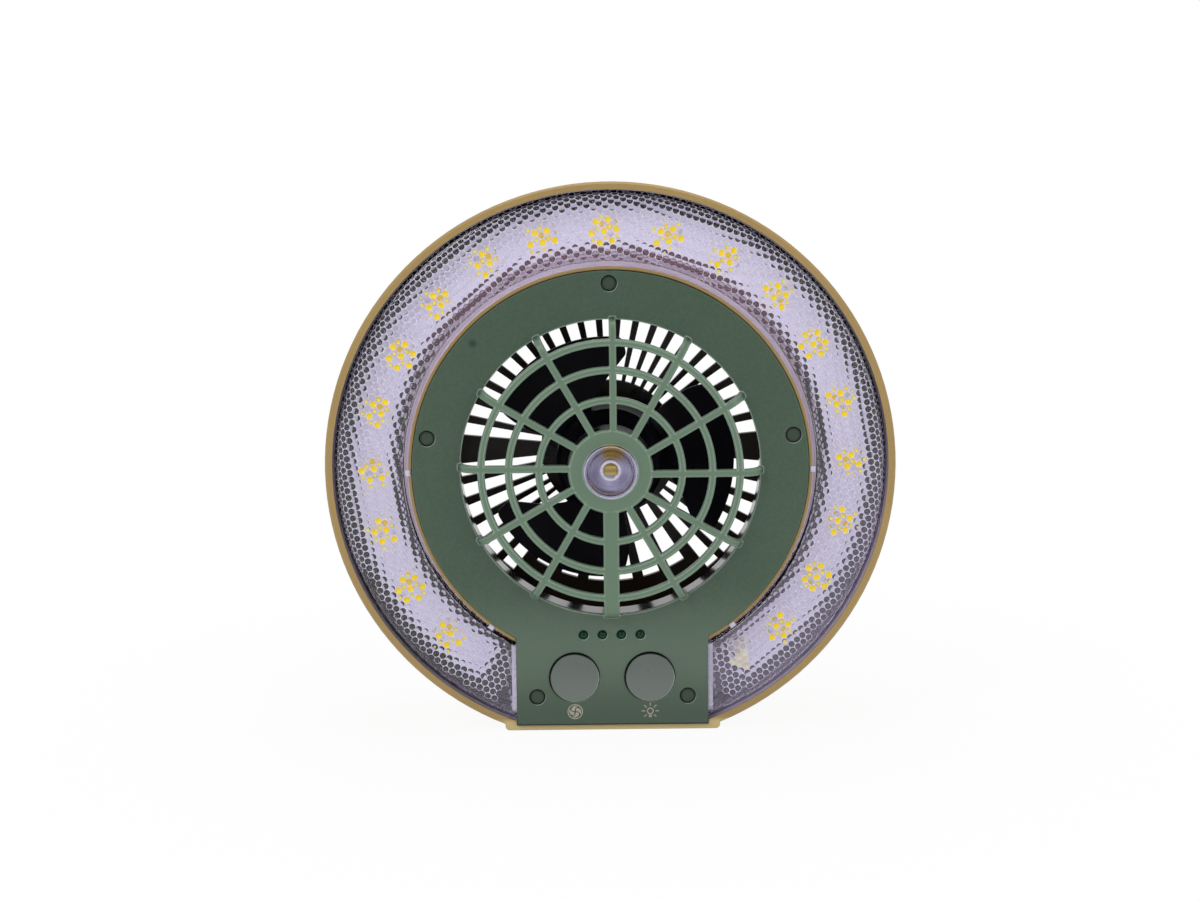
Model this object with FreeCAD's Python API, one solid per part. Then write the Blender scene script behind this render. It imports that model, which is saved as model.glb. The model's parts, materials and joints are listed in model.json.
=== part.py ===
# Portable camping fan with a ring lamp and a spotlight, free-standing on a flat foot.
# Shapes are made round the fan axis: X to the right, Y back from the panel's front face, Z up.
# At the end they are moved so that the foot stands on Z = 0 and the depth is centred on Y = 0.
import FreeCAD, Part

import os
from math import cos, hypot, radians, sin

# Clearances
FIT_GAP = 0.2
SEAT_GAP = 0.1
MOVE_GAP = 0.3
RUNNING_GAP = 0.05

# How far pieces that are fused run into each other, cutters run past, and edges are matched
OVERLAP = 0.1
CUT_PAST = 1.0
MATCH = 0.01

# Case
RIM_WALL = 2.6
RIM_FRONT = 1.0
RIM_EDGE = 0.8
RIM_SLOPE = 1.9
FOOT_CUT = 5.5
FOOT_OVERHANG = 4.3
FOOT_THICKNESS = 1.8
FOOT_CORNER = 1.6
PARTING_DEPTH = 16.0
CASE_DEPTH = 46.5
CASE_WALL = 2.2
LIP_HEIGHT = 2.5
LIP_WALL = 1.4
LIP_ROOT = 1.0
SIDE_DRAFT = 2.2
SIDE_LENGTH = 14.0
CORNER_START_INSET = 6.4
CORNER_START_RISE = 6.2
CORNER_MIDDLE_INSET = 8.9
CORNER_MIDDLE_RISE = 1.9
REAR_FACE_INSET = 13.6

# Panel and grille
OPENING_RADIUS = 52.5
PANEL_BAND = 16.9
PANEL_THICKNESS = 2.4
TAB_HALF_WIDTH = 33.9
GRILLE_RISE = 6.8
GRILLE_BAR = 2.5
GRILLE_RING_INSETS = (7.4, 17.0, 27.5)
GRILLE_FOOT_LAP = 1.0
GRILLE_FOOT_SETBACK = 1.6
SPOKE_COUNT = 12
SPOKE_OFFSET = 1.05
WIRE_SPOKE_WIDTH = 5.5
WIRE_SPOKE_DEPTH = 3.5
BAR_EDGE = 0.5
HUB_RADIUS = 15.0
HUB_WALL = 1.6
HUB_FRONT_WALL = 2.2
HUB_BACK = 0.0
RING_WALL = 1.1
SHELF_THICKNESS = 3.5
SIDE_WALL = 1.5

# Panel screws and their plugs
PANEL_SCREW_INSET = 4.4
PANEL_SCREW_ANGLES = (0, 80, 280)
TAB_SCREW_INSET = 7.2
TAB_SCREW_RISE = 10.4
PLUG_RADIUS = 2.65
PLUG_HEIGHT = 1.2
SCREW_HEAD_RADIUS = 2.3
SCREW_HEAD_HEIGHT = 1.4
SCREW_SHANK_RADIUS = 1.25
PANEL_SCREW_LENGTH = 8.0
SCREW_SLOT_SHARE = 0.14
BOSS_WALL = 2.2
PANEL_BOSS_WALL = 1.5
PANEL_BOSS_FLOOR = 1.2
PILOT_TIP = 1.0

# Collar behind the opening
DUCT_WALL = 1.6
DUCT_LENGTH = 11.0
DUCT_FLANGE = 3.2
DUCT_FLANGE_THICKNESS = 1.2
CHAMBER_GAP = 1.5
CHAMBER_SPREAD = 4.3
CHAMBER_CONE_LENGTH = 13.8
CHAMBER_WALL = 1.8

# Ring lamp
LENS_WIDTH = 26.0
LENS_FRONT = 1.2
LENS_WALL = 1.6
LENS_ROLL = 6.0
LENS_DROP = 5.4
LENS_SKIRT = 1.5
LENS_INNER_ROLL = 1.6
TRAY_FLOOR = 1.7
LED_BOARD_MARGIN = 6.0
LED_BOARD_END = 149.0
BOARD_THICKNESS = 1.6
LED_PAIRS = 9
LED_PITCH = 15.0
LED_SIZE = 5.0
LED_HEIGHT = 0.9
LED_WINDOW_RADIUS = 2.1
CONNECTOR_RADIUS = 3.0
CONNECTOR_HEIGHT = 2.2
CONNECTOR_ANGLE = 145.7
CONNECTOR_INSET = 3.4

# Spotlight
SPOT_RADIUS = 9.2
SPOT_PROUD = 1.7
SPOT_WALL = 0.9
SPOT_FLANGE = 2.4
SPOT_FLANGE_THICKNESS = 1.2
SPOT_SEAT_RADIUS = 4.4
SPOT_RING_RADIUS = 3.6
SPOT_RING_WALL = 0.8
SPOT_BOARD_THICKNESS = 1.2
SPOT_LED_RADIUS = 2.2
SPOT_LED_HEIGHT = 1.0
SPOT_CAP_LENGTH = 7.0
SPOT_CAP_WALL = 1.4

# Buttons, switches and indicators
BUTTON_RADIUS = 8.7
BUTTON_LIFT = 1.0
BUTTON_PROUD = 0.9
BUTTON_EDGE = 0.4
BUTTON_FLANGE = 0.6
BUTTON_FLANGE_THICKNESS = 1.0
BUTTON_TRAVEL = 0.8
BUTTON_STEM_RADIUS = 1.6
SWITCH_SIZE = 6.0
SWITCH_HEIGHT = 3.4
PLUNGER_RADIUS = 1.7
PLUNGER_HEIGHT = 0.8
INDICATOR_RADIUS = 1.5
INDICATOR_FLANGE = 0.4
INDICATOR_PROUD = 0.8
INDICATOR_LENGTH = 5.2
INDICATOR_PITCH = 6.7
INDICATOR_MARGIN = 7.25
INDICATOR_COUNT = 4
INDICATOR_FLANGE_THICKNESS = 1.0
LEAD_SIZE = 0.5
LEAD_SPACING = 1.27
CONTROL_BOARD_DEPTH = 10.0
CONTROL_BOARD_MARGIN = 1.35
CONTROL_BOARD_INSET = 2.9
BOARD_SCREW_INSET = 5.5
BOARD_SCREW_RISE = 11.6
SMALL_SCREW_RADIUS = 0.95
SMALL_HEAD_RADIUS = 1.9
SMALL_HEAD_HEIGHT = 1.2
SMALL_SCREW_LENGTH = 4.0

# Rear grille
GRILLE_PLATE_LAP = 5.8
GRILLE_PLATE_THICKNESS = 2.4
GRILLE_PLATE_RECESS = 0.2
SLOT_POSITIONS = 44
SLOT_ANGLE = 5.2
SLOT_HUB_MARGIN = 0.4
SLOT_RIM_MARGIN = 2.4
LOWER_SLOT_MARGIN = 10.2
LOWER_SLOT_ANGLE = 7.2
LOWER_SLOT_CENTRES = (5.9, 17.7, 29.4)
LOWER_SECTOR = 38.5
CASE_SCREW_MARGIN = 3.2
CASE_SCREW_ANGLES = (30, 90, 160, 200, 270, 330)
CASE_SCREW_BITE = 7.0
CASE_BOSS_RADIUS = 3.2

# Fan and motor
BLADE_COUNT = 3
BLADE_TIP_MARGIN = 8.1
BLADE_THICKNESS = 1.5
BLADE_SETBACK = 1.5
BLADE_RISE = 15.0
BLADE_CORNER = 2.5
BLADE_LEADING_EDGE = ((0, -74), (0.375, -72.5), (0.68, -70.5), (1, -65))
BLADE_TRAILING_EDGE = ((1, 6), (0.795, 9), (0.49, 0.5), (0.26, -9), (0, -22))
BLADE_TIP_MIDDLE = -30
BLADE_ROOT_MIDDLE = -48
BLADE_FRONT_ANGLE = 9
BLADE_BACK_ANGLE = -75
BLADE_SECTION_ANGLES = (-90, -71, -52, -33, -14, 5, 24)
FAN_HUB_RADIUS = 19.0
FAN_HUB_WALL = 1.6
FAN_HUB_LENGTH = 21.0
FAN_HUB_EDGE = 1.5
YOKE_GAP = 2.1
YOKE_WALL = 1.0
YOKE_BOSS_LENGTH = 4.0
YOKE_LENGTH = 21.5
MAGNET_WALL = 1.3
MAGNET_LENGTH = 10.0
AIR_GAP = 0.5
STATOR_HEIGHT = 8.0
STATOR_TEETH = 9
STATOR_BORE_GAP = 0.05
TOOTH_WIDTH = 2.4
TOOTH_TIP = 1.4
TOOTH_TIP_SHARE = 0.8
STATOR_YOKE_RADIUS = 6.4
TOOTH_ROOT = 0.5
COIL_WALL = 0.9
COIL_ROOT_GAP = 1.2
COIL_TIP_GAP = 0.3
SHAFT_RADIUS = 1.5
SHAFT_BOSS_RADIUS = 3.0
BEARING_RADIUS = 3.0
BEARING_LENGTH = 3.0
BEARING_SETBACK = 1.0
BEARING_SPAN = 17.0
BEARING_TUBE_WALL = 1.2
MOTOR_BASE_INSET = 1.0
MOTOR_BASE_THICKNESS = 1.9
MOTOR_EAR_RADIUS = 2.8
MOTOR_EAR_REACH = 3.8
MOTOR_SCREW_ANGLES = (30, 150, 270)
MOTOR_SCREW_TIP = 0.6
MOTOR_BOARD_INSET = 2.0
MOTOR_BOARD_RISE = 2.0
CLIP_WALL = 0.9
CLIP_THICKNESS = 0.6
CLIP_GROOVE = 0.3
CLIP_MOUTH_SHARE = 0.7

# Battery cells
CELL_RADIUS = 9.2
CELL_LENGTH = 65.0
CELL_LIFT = 1.0
CELL_ANGLES = (132, 228)
CELL_TERMINAL_RADIUS = 2.8
CELL_TERMINAL_HEIGHT = 1.2
CRADLE_RIB_SPACING = 40.0
CRADLE_RIB_THICKNESS = 2.0
CRADLE_RIB_MARGIN = 1.8

# Charging port
PORT_RISE = 10.5
PORT_WIDTH = 8.9
PORT_HEIGHT = 3.2
PORT_LENGTH = 7.4
PORT_WALL = 0.3
PORT_TONGUE_HEIGHT = 0.7
PORT_TONGUE_MARGIN = 1.0
PORT_TONGUE_SETBACK = 0.6
PORT_FLOOR = 1.0
PORT_BOARD_HALF_WIDTH = 10.0
PORT_BOARD_LENGTH = 15.0
PORT_RAIL_WIDTH = 2.0

# Bail: hanging loop and stand
BAIL_MARGIN = 1.0
BAIL_WIDTH = 6.4
BAIL_THICKNESS = 6.5
BAIL_EDGE = 1.2
BAIL_GAP = 0.4
BAIL_LIP_LENGTH = 4.0
BAIL_LIP_WIDTH = 22.0
BAIL_LIP_THICKNESS = 3.2
EAR_THICKNESS = 3.6
EAR_RADIUS = 4.6
BAIL_PIN_RADIUS = 1.5
BAIL_PIN_ENGAGEMENT = 4.6
BAIL_PIN_HEAD_RADIUS = 2.8
BAIL_PIN_HEAD_HEIGHT = 1.3

# Sizes that follow from those above
GRILLE_FRONT = -GRILLE_RISE
GRILLE_BACK = GRILLE_FRONT + GRILLE_BAR
SPOT_FRONT = GRILLE_FRONT - SPOT_PROUD
PANEL_RADIUS = OPENING_RADIUS + PANEL_BAND
RING_INNER = PANEL_RADIUS + MOVE_GAP
RING_OUTER = RING_INNER + RING_WALL
LENS_INNER = RING_OUTER + MOVE_GAP
LENS_OUTER = LENS_INNER + LENS_WIDTH
RIM_RADIUS = LENS_OUTER + MOVE_GAP + RIM_WALL
AXIS_HEIGHT = RIM_RADIUS - FOOT_CUT
FOOT_HALF_WIDTH = TAB_HALF_WIDTH + FOOT_OVERHANG
TAB_FLOOR = AXIS_HEIGHT - FOOT_THICKNESS
TAB_DROP = TAB_FLOOR - FIT_GAP
GRILLE_RING_RADII = tuple(OPENING_RADIUS - inset for inset in GRILLE_RING_INSETS)
LENS_END_X = TAB_HALF_WIDTH + FIT_GAP
LENS_SEAT_DEPTH = LENS_FRONT + LENS_DROP + LENS_SKIRT + SEAT_GAP
LENS_INNER_SEAT_DEPTH = LENS_FRONT + LENS_INNER_ROLL + LENS_SKIRT + 2 * SEAT_GAP
SHELF_FRONT = PANEL_THICKNESS + SEAT_GAP
SHELF_BACK = SHELF_FRONT + SHELF_THICKNESS
CASE_RADIUS = RIM_RADIUS - RIM_SLOPE
REAR_FACE_RADIUS = CASE_RADIUS - REAR_FACE_INSET
REAR_START = PARTING_DEPTH + FIT_GAP
CASE_INSIDE = CASE_DEPTH - CASE_WALL
PANEL_SCREW_RADIUS = PANEL_RADIUS - PANEL_SCREW_INSET
TAB_SCREW_X = TAB_HALF_WIDTH - TAB_SCREW_INSET
TAB_SCREW_DROP = TAB_DROP - TAB_SCREW_RISE
HEAD_SEAT = PLUG_HEIGHT + SCREW_HEAD_HEIGHT + 3 * SEAT_GAP
PANEL_BOSS_RADIUS = PLUG_RADIUS + PANEL_BOSS_WALL
PANEL_BOSS_BACK = HEAD_SEAT + PANEL_BOSS_FLOOR
PILOT_RADIUS = SCREW_SHANK_RADIUS + RUNNING_GAP
SMALL_PILOT_RADIUS = SMALL_SCREW_RADIUS + RUNNING_GAP
FRAME_BOSS_RADIUS = PILOT_RADIUS + BOSS_WALL
DUCT_RADIUS = OPENING_RADIUS + MOVE_GAP
DUCT_OUTER = DUCT_RADIUS + DUCT_WALL
DUCT_FLANGE_RADIUS = DUCT_OUTER + DUCT_FLANGE
CHAMBER_FRONT_RADIUS = DUCT_OUTER + CHAMBER_GAP
CHAMBER_REAR_RADIUS = CHAMBER_FRONT_RADIUS + CHAMBER_SPREAD
CHAMBER_CONE_END = REAR_START + CHAMBER_CONE_LENGTH
TRAY_DEPTH = PARTING_DEPTH - TRAY_FLOOR
LED_RADIUS = (LENS_INNER + LENS_OUTER) / 2
LED_BOARD_WIDTH = LENS_WIDTH - 2 * LED_BOARD_MARGIN
LED_BOARD_FRONT = TRAY_DEPTH - BOARD_THICKNESS
LED_FRONT = LED_BOARD_FRONT - LED_HEIGHT
CONNECTOR_ORBIT = LED_RADIUS - CONNECTOR_INSET
CONNECTOR_FRONT = LED_BOARD_FRONT - CONNECTOR_HEIGHT
LED_ANGLES = tuple(LED_PITCH * step for step in range(-LED_PAIRS, LED_PAIRS + 1))
INDICATOR_DROP = OPENING_RADIUS + INDICATOR_MARGIN
BUTTON_X = TAB_SCREW_X / 2
BUTTON_DROP = (INDICATOR_DROP + TAB_DROP) / 2 - BUTTON_LIFT
CONTROL_BOARD_TOP = INDICATOR_DROP - CONTROL_BOARD_MARGIN
CONTROL_BOARD_BACK = CONTROL_BOARD_DEPTH + BOARD_THICKNESS
BOARD_SCREW_X = TAB_HALF_WIDTH - BOARD_SCREW_INSET
BOARD_SCREW_DROP = TAB_SCREW_DROP - BOARD_SCREW_RISE
SWITCH_FRONT = CONTROL_BOARD_DEPTH - SWITCH_HEIGHT
PLUNGER_FRONT = SWITCH_FRONT - PLUNGER_HEIGHT
BUTTON_STEM_END = PLUNGER_FRONT - BUTTON_TRAVEL - FIT_GAP
BUTTON_FLANGE_FRONT = PANEL_THICKNESS + MOVE_GAP
INDICATOR_XS = tuple(
    INDICATOR_PITCH * (number - (INDICATOR_COUNT - 1) / 2) for number in range(INDICATOR_COUNT)
)
INDICATOR_BACK = INDICATOR_LENGTH - INDICATOR_PROUD
GRILLE_PLATE_RADIUS = CHAMBER_REAR_RADIUS + GRILLE_PLATE_LAP
CASE_SCREW_ORBIT = CHAMBER_REAR_RADIUS + CASE_SCREW_MARGIN
SLOT_OUTER_RADIUS = CHAMBER_REAR_RADIUS - SLOT_RIM_MARGIN
LOWER_SLOT_RADIUS = CHAMBER_REAR_RADIUS - LOWER_SLOT_MARGIN
PLATE_BACK = CASE_DEPTH - GRILLE_PLATE_RECESS
PLATE_FRONT = PLATE_BACK - GRILLE_PLATE_THICKNESS
LEDGE_DEPTH = PLATE_FRONT - SEAT_GAP
PLATE_RECESS_RADIUS = GRILLE_PLATE_RADIUS + FIT_GAP
LEDGE_OUTER = PLATE_RECESS_RADIUS + CASE_WALL
MOTOR_BASE_RADIUS = FAN_HUB_RADIUS - MOTOR_BASE_INSET
MOTOR_SCREW_ORBIT = MOTOR_BASE_RADIUS + MOTOR_EAR_REACH
MOTOR_BOARD_RADIUS = MOTOR_BASE_RADIUS - MOTOR_BOARD_INSET
SLOT_INNER_RADIUS = MOTOR_SCREW_ORBIT + MOTOR_EAR_RADIUS + SLOT_HUB_MARGIN
MOTOR_BASE_BACK = PLATE_FRONT - SEAT_GAP
MOTOR_BASE_FRONT = MOTOR_BASE_BACK - MOTOR_BASE_THICKNESS
MOTOR_BOARD_BACK = MOTOR_BASE_FRONT - MOTOR_BOARD_RISE
MOTOR_BOARD_FRONT = MOTOR_BOARD_BACK - BOARD_THICKNESS
BEARING_TUBE_INNER = BEARING_RADIUS + RUNNING_GAP
BEARING_TUBE_OUTER = BEARING_TUBE_INNER + BEARING_TUBE_WALL
YOKE_BACK = MOTOR_BOARD_FRONT - YOKE_GAP
YOKE_FRONT = YOKE_BACK - YOKE_LENGTH
FAN_HUB_INSIDE = YOKE_FRONT - SEAT_GAP
FAN_HUB_FRONT = FAN_HUB_INSIDE - FAN_HUB_WALL
FAN_HUB_BACK = FAN_HUB_FRONT + FAN_HUB_LENGTH
FAN_HUB_INNER = FAN_HUB_RADIUS - FAN_HUB_WALL
BLADE_TIP_RADIUS = OPENING_RADIUS - BLADE_TIP_MARGIN
BLADE_FRONT = FAN_HUB_FRONT + BLADE_SETBACK
BLADE_ROOT_RADIUS = FAN_HUB_RADIUS - FAN_HUB_WALL / 2
YOKE_OUTER = FAN_HUB_INNER - RUNNING_GAP
YOKE_INNER = YOKE_OUTER - YOKE_WALL
MAGNET_OUTER = YOKE_INNER - RUNNING_GAP
MAGNET_INNER = MAGNET_OUTER - MAGNET_WALL
STATOR_RADIUS = MAGNET_INNER - AIR_GAP
MAGNET_BACK = YOKE_BACK - SEAT_GAP
MAGNET_FRONT = MAGNET_BACK - MAGNET_LENGTH
STATOR_MIDDLE = (MAGNET_FRONT + MAGNET_BACK) / 2
STATOR_FRONT = STATOR_MIDDLE - STATOR_HEIGHT / 2
STATOR_BACK = STATOR_MIDDLE + STATOR_HEIGHT / 2
FRONT_BEARING_FRONT = STATOR_FRONT - BEARING_LENGTH - BEARING_SETBACK
REAR_BEARING_BACK = FRONT_BEARING_FRONT + BEARING_SPAN
CLIP_FRONT = REAR_BEARING_BACK + FIT_GAP
CLIP_BACK = CLIP_FRONT + CLIP_THICKNESS
CLIP_SEAT_RADIUS = SHAFT_RADIUS - CLIP_GROOVE
CELL_DEPTH = (PARTING_DEPTH + CASE_INSIDE) / 2 - CELL_LIFT
CELL_ORBIT = CHAMBER_REAR_RADIUS + CHAMBER_WALL + CELL_RADIUS + 2 * FIT_GAP
PORT_DROP = AXIS_HEIGHT - PORT_RISE
PORT_BACK = CASE_DEPTH - FIT_GAP
PORT_BOARD_TOP = -PORT_DROP - PORT_HEIGHT / 2 - SEAT_GAP
PORT_BOARD_BACK = CASE_INSIDE - FIT_GAP
BAIL_RADIUS = GRILLE_PLATE_RADIUS + BAIL_MARGIN
BAIL_INNER = BAIL_RADIUS - BAIL_WIDTH / 2
BAIL_OUTER = BAIL_RADIUS + BAIL_WIDTH / 2
BAIL_FRONT = CASE_DEPTH + BAIL_GAP
BAIL_BACK = BAIL_FRONT + BAIL_THICKNESS
BAIL_PIVOT_DEPTH = (BAIL_FRONT + BAIL_BACK) / 2
EAR_BACK = BAIL_PIVOT_DEPTH + EAR_RADIUS
EAR_X = BAIL_OUTER + MOVE_GAP
BACK_AXIS = FreeCAD.Vector(0, 1, 0)
RIGHT_AXIS = FreeCAD.Vector(1, 0, 0)
UP_AXIS = FreeCAD.Vector(0, 0, 1)
HALF_BEND = sin(radians(45))
FAN_CENTRE = FreeCAD.Vector(0, 0, 0)
FAR = 2 * RIM_RADIUS


def rod(radius, front, back, x=0.0, z=0.0):
    """Round bar along the depth."""
    return Part.makeCylinder(radius, back - front, FreeCAD.Vector(x, front, z), BACK_AXIS)


def tube(outer, inner, front, back, x=0.0, z=0.0):
    """Round bar along the depth with a hole right through."""
    return rod(outer, front, back, x, z).cut(rod(inner, front - CUT_PAST, back + CUT_PAST, x, z))


def cross_rod(radius, left, right, depth, z=0.0):
    """Round bar along X."""
    return Part.makeCylinder(radius, right - left, FreeCAD.Vector(left, depth, z), RIGHT_AXIS)


def block(left, right, front, back, bottom, top):
    """Box between two corners."""
    corner = FreeCAD.Vector(left, front, bottom)
    return Part.makeBox(right - left, back - front, top - bottom, corner)


def mirrored_blocks(inner, outer, front, back, bottom, top):
    """The same box on the right and on the left."""
    return block(inner, outer, front, back, bottom, top).fuse(
        block(-outer, -inner, front, back, bottom, top)
    )


def joined(shapes):
    """One shape from many that touch or overlap."""
    whole = shapes[0]
    for shape in shapes[1:]:
        whole = whole.fuse(shape)
    return whole


def turned(outline):
    """Solid of revolution about the fan axis from a closed outline of edges or (radius, depth) points."""
    if isinstance(outline[0], tuple):
        points = [FreeCAD.Vector(radius, depth, 0) for radius, depth in outline]
        wire = Part.makePolygon(points + points[:1])
    else:
        wire = Part.Wire(outline)
    return Part.Face(wire).revolve(FAN_CENTRE, BACK_AXIS, 360)


def line(start, end):
    """Straight edge between two (radius, depth) points."""
    return Part.LineSegment(FreeCAD.Vector(*start, 0), FreeCAD.Vector(*end, 0)).toShape()


def arc(start, middle, end):
    """Arc through three (radius, depth) points."""
    points = [FreeCAD.Vector(*point, 0) for point in (start, middle, end)]
    return Part.Arc(*points).toShape()


def turn(shape, angle):
    """Copy turned about the fan axis, clockwise as seen from the front."""
    copy = shape.copy()
    copy.rotate(FAN_CENTRE, BACK_AXIS, angle)
    return copy


def around(shape, angles):
    """Copies turned to each angle."""
    return [turn(shape, angle) for angle in angles]


def sector(start, end, radius, front, back):
    """Wedge between two clockwise angles from the top."""
    wedge = Part.makeCylinder(radius, back - front, FAN_CENTRE, UP_AXIS, end - start)
    wedge.rotate(FAN_CENTRE, RIGHT_AXIS, -90)
    wedge.translate(FreeCAD.Vector(0, front, 0))
    return turn(wedge, start - 90)


def polar(orbit, angle):
    """X and Z of a point at an orbit radius and a clockwise angle from the top."""
    return orbit * sin(radians(angle)), orbit * cos(radians(angle))


def rounded_on(shape, radius, wanted):
    """Fillet on the edges whose box passes the test."""
    edges = [edge for edge in shape.Edges if wanted(edge.BoundBox)]
    return shape.makeFillet(radius, edges)


def front_edge_at(shape, depth):
    """Edges that lie no further back than a depth."""
    return [edge for edge in shape.Edges if edge.BoundBox.YMax < depth + MATCH]


def keyhole(radius, half_width, drop, front, back):
    """Disc with a straight tab down from it."""
    disc = rod(radius, front, back)
    return disc.fuse(block(-half_width, half_width, front, back, -drop, 0)).removeSplitter()


def panel_screw_places():
    """X and Z of the five screws that hold the panel."""
    places = [polar(PANEL_SCREW_RADIUS, angle) for angle in PANEL_SCREW_ANGLES]
    return places + [(side * TAB_SCREW_X, -TAB_SCREW_DROP) for side in (-1, 1)]


def case_screw_places():
    """X and Z of the long screws that hold the case together."""
    return [polar(CASE_SCREW_ORBIT, angle) for angle in CASE_SCREW_ANGLES]


def motor_screw_places():
    """X and Z of the screws that hold the motor."""
    return [polar(MOTOR_SCREW_ORBIT, angle) for angle in MOTOR_SCREW_ANGLES]


def board_screw_places():
    """X and Z of the screws that hold the control board."""
    return [(side * BOARD_SCREW_X, -BOARD_SCREW_DROP) for side in (-1, 1)]


def button_places():
    """X and Z of the fan button and the light button."""
    return [(side * BUTTON_X, -BUTTON_DROP) for side in (-1, 1)]


def foot_slab(front, back, top):
    """Slab under the case with rounded lower ends."""
    slab = block(-FOOT_HALF_WIDTH, FOOT_HALF_WIDTH, front, back, -AXIS_HEIGHT, top)
    return rounded_on(
        slab,
        FOOT_CORNER,
        lambda box: box.YLength > (back - front) / 2 and box.ZMax < -AXIS_HEIGHT + MATCH,
    )


def above_foot(shape):
    """The shape without what would reach below the foot."""
    return shape.cut(block(-FAR, FAR, -FAR, FAR, -FAR, -AXIS_HEIGHT))


def make_front_frame():
    """Rim, lamp channel and the shelf that carries the panel, with the foot's front half."""
    rim_inner = RIM_RADIUS - RIM_WALL
    seat_inner = LENS_OUTER - LENS_WALL
    rim = turned([
        (rim_inner, RIM_FRONT),
        (RIM_RADIUS - RIM_EDGE, RIM_FRONT),
        (RIM_RADIUS, RIM_FRONT + RIM_EDGE),
        (CASE_RADIUS, PARTING_DEPTH),
        (seat_inner, PARTING_DEPTH),
        (seat_inner, LENS_SEAT_DEPTH),
        (rim_inner, LENS_SEAT_DEPTH),
    ])
    floor = tube(rim_inner, RING_INNER, TRAY_DEPTH, TRAY_DEPTH + TRAY_FLOOR)
    ring = turned([
        (RING_INNER, RIM_FRONT),
        (RING_OUTER, RIM_FRONT),
        (RING_OUTER, LENS_INNER_SEAT_DEPTH),
        (LENS_INNER + LENS_WALL, LENS_INNER_SEAT_DEPTH),
        (LENS_INNER + LENS_WALL, TRAY_DEPTH + TRAY_FLOOR),
        (RING_INNER, TRAY_DEPTH + TRAY_FLOOR),
    ])
    lip_outer = CASE_RADIUS - CASE_WALL - 4 * FIT_GAP
    lip = tube(lip_outer, lip_outer - LIP_WALL, PARTING_DEPTH - LIP_ROOT, PARTING_DEPTH + LIP_HEIGHT)
    lip = lip.cut(block(-FOOT_HALF_WIDTH, FOOT_HALF_WIDTH, PARTING_DEPTH, FAR, -FAR, 0))
    outer = above_foot(joined([rim, floor, ring, lip]))
    tab_front = block(
        -LENS_END_X, LENS_END_X, -CUT_PAST, TRAY_DEPTH, -TAB_FLOOR, -RING_INNER / 2
    )
    side_inner = TAB_HALF_WIDTH - SEAT_GAP - SIDE_WALL
    tab_back = block(
        -side_inner - SIDE_WALL / 2, side_inner + SIDE_WALL / 2,
        TRAY_DEPTH, FAR, -TAB_FLOOR, -RING_INNER / 2,
    )
    lens_room = rod(rim_inner, RIM_FRONT - CUT_PAST, LENS_SEAT_DEPTH).cut(
        block(-FAR, FAR, -FAR, FAR, -FAR, -TAB_FLOOR)
    )
    foot = foot_slab(RIM_FRONT, PARTING_DEPTH, -TAB_FLOOR + CASE_WALL).cut(lens_room)
    outer = joined([outer, foot]).cut(tab_front).cut(tab_back)

    flange_recess = DUCT_FLANGE_RADIUS + FIT_GAP
    flange_seat = SHELF_FRONT + DUCT_FLANGE_THICKNESS + SEAT_GAP
    shelf = keyhole(
        RING_INNER + RING_WALL / 2, TAB_HALF_WIDTH - SEAT_GAP, TAB_FLOOR + SEAT_GAP,
        SHELF_FRONT, SHELF_BACK,
    )
    shelf = shelf.cut(rod(DUCT_OUTER + MOVE_GAP, 0, FAR))
    shelf = shelf.cut(rod(flange_recess, 0, flange_seat))
    window_half = TAB_SCREW_X - FRAME_BOSS_RADIUS
    window_top = -BUTTON_DROP + BUTTON_RADIUS + BUTTON_FLANGE + 3 * MOVE_GAP
    window = block(-window_half, window_half, 0, FAR, -TAB_DROP + SIDE_WALL, window_top)
    shelf = shelf.cut(window)
    chamber = tube(
        CHAMBER_FRONT_RADIUS + CHAMBER_WALL, CHAMBER_FRONT_RADIUS,
        SHELF_BACK - SIDE_WALL, PARTING_DEPTH,
    )
    sides = mirrored_blocks(
        side_inner, side_inner + SIDE_WALL, SHELF_FRONT, PARTING_DEPTH,
        -TAB_FLOOR - SEAT_GAP, -RING_INNER + SIDE_WALL,
    )
    rest_half = SMALL_HEAD_RADIUS + SMALL_SCREW_RADIUS
    board_rest = mirrored_blocks(
        BOARD_SCREW_X - rest_half, side_inner + SEAT_GAP, SHELF_FRONT + SHELF_THICKNESS / 2,
        CONTROL_BOARD_DEPTH - SEAT_GAP, -BOARD_SCREW_DROP - rest_half, -BOARD_SCREW_DROP + rest_half,
    )
    body = joined([outer, shelf, chamber, sides, board_rest])

    bosses = []
    holes = []
    for x, z in panel_screw_places():
        boss_back = HEAD_SEAT + PANEL_SCREW_LENGTH + PILOT_TIP
        bosses.append(rod(FRAME_BOSS_RADIUS, PANEL_BOSS_BACK + SEAT_GAP, boss_back, x, z))
        holes.append(rod(PANEL_BOSS_RADIUS + FIT_GAP, 0, PANEL_BOSS_BACK + SEAT_GAP, x, z))
        holes.append(rod(PILOT_RADIUS, 0, HEAD_SEAT + PANEL_SCREW_LENGTH + FIT_GAP, x, z))
    for x, z in case_screw_places():
        bosses.append(rod(CASE_BOSS_RADIUS, SHELF_BACK - SIDE_WALL, PARTING_DEPTH, x, z))
        holes.append(rod(PILOT_RADIUS, REAR_START - CASE_SCREW_BITE - PILOT_TIP, FAR, x, z))
    for x, z in board_screw_places():
        holes.append(rod(SMALL_PILOT_RADIUS, CONTROL_BOARD_DEPTH - SMALL_SCREW_LENGTH, FAR, x, z))
    for x in INDICATOR_XS:
        hole_radius = INDICATOR_RADIUS + INDICATOR_FLANGE + FIT_GAP
        holes.append(rod(hole_radius, 0, SHELF_BACK + CUT_PAST, x, -INDICATOR_DROP))
    return joined([body] + bosses).cut(joined(holes))


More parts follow.
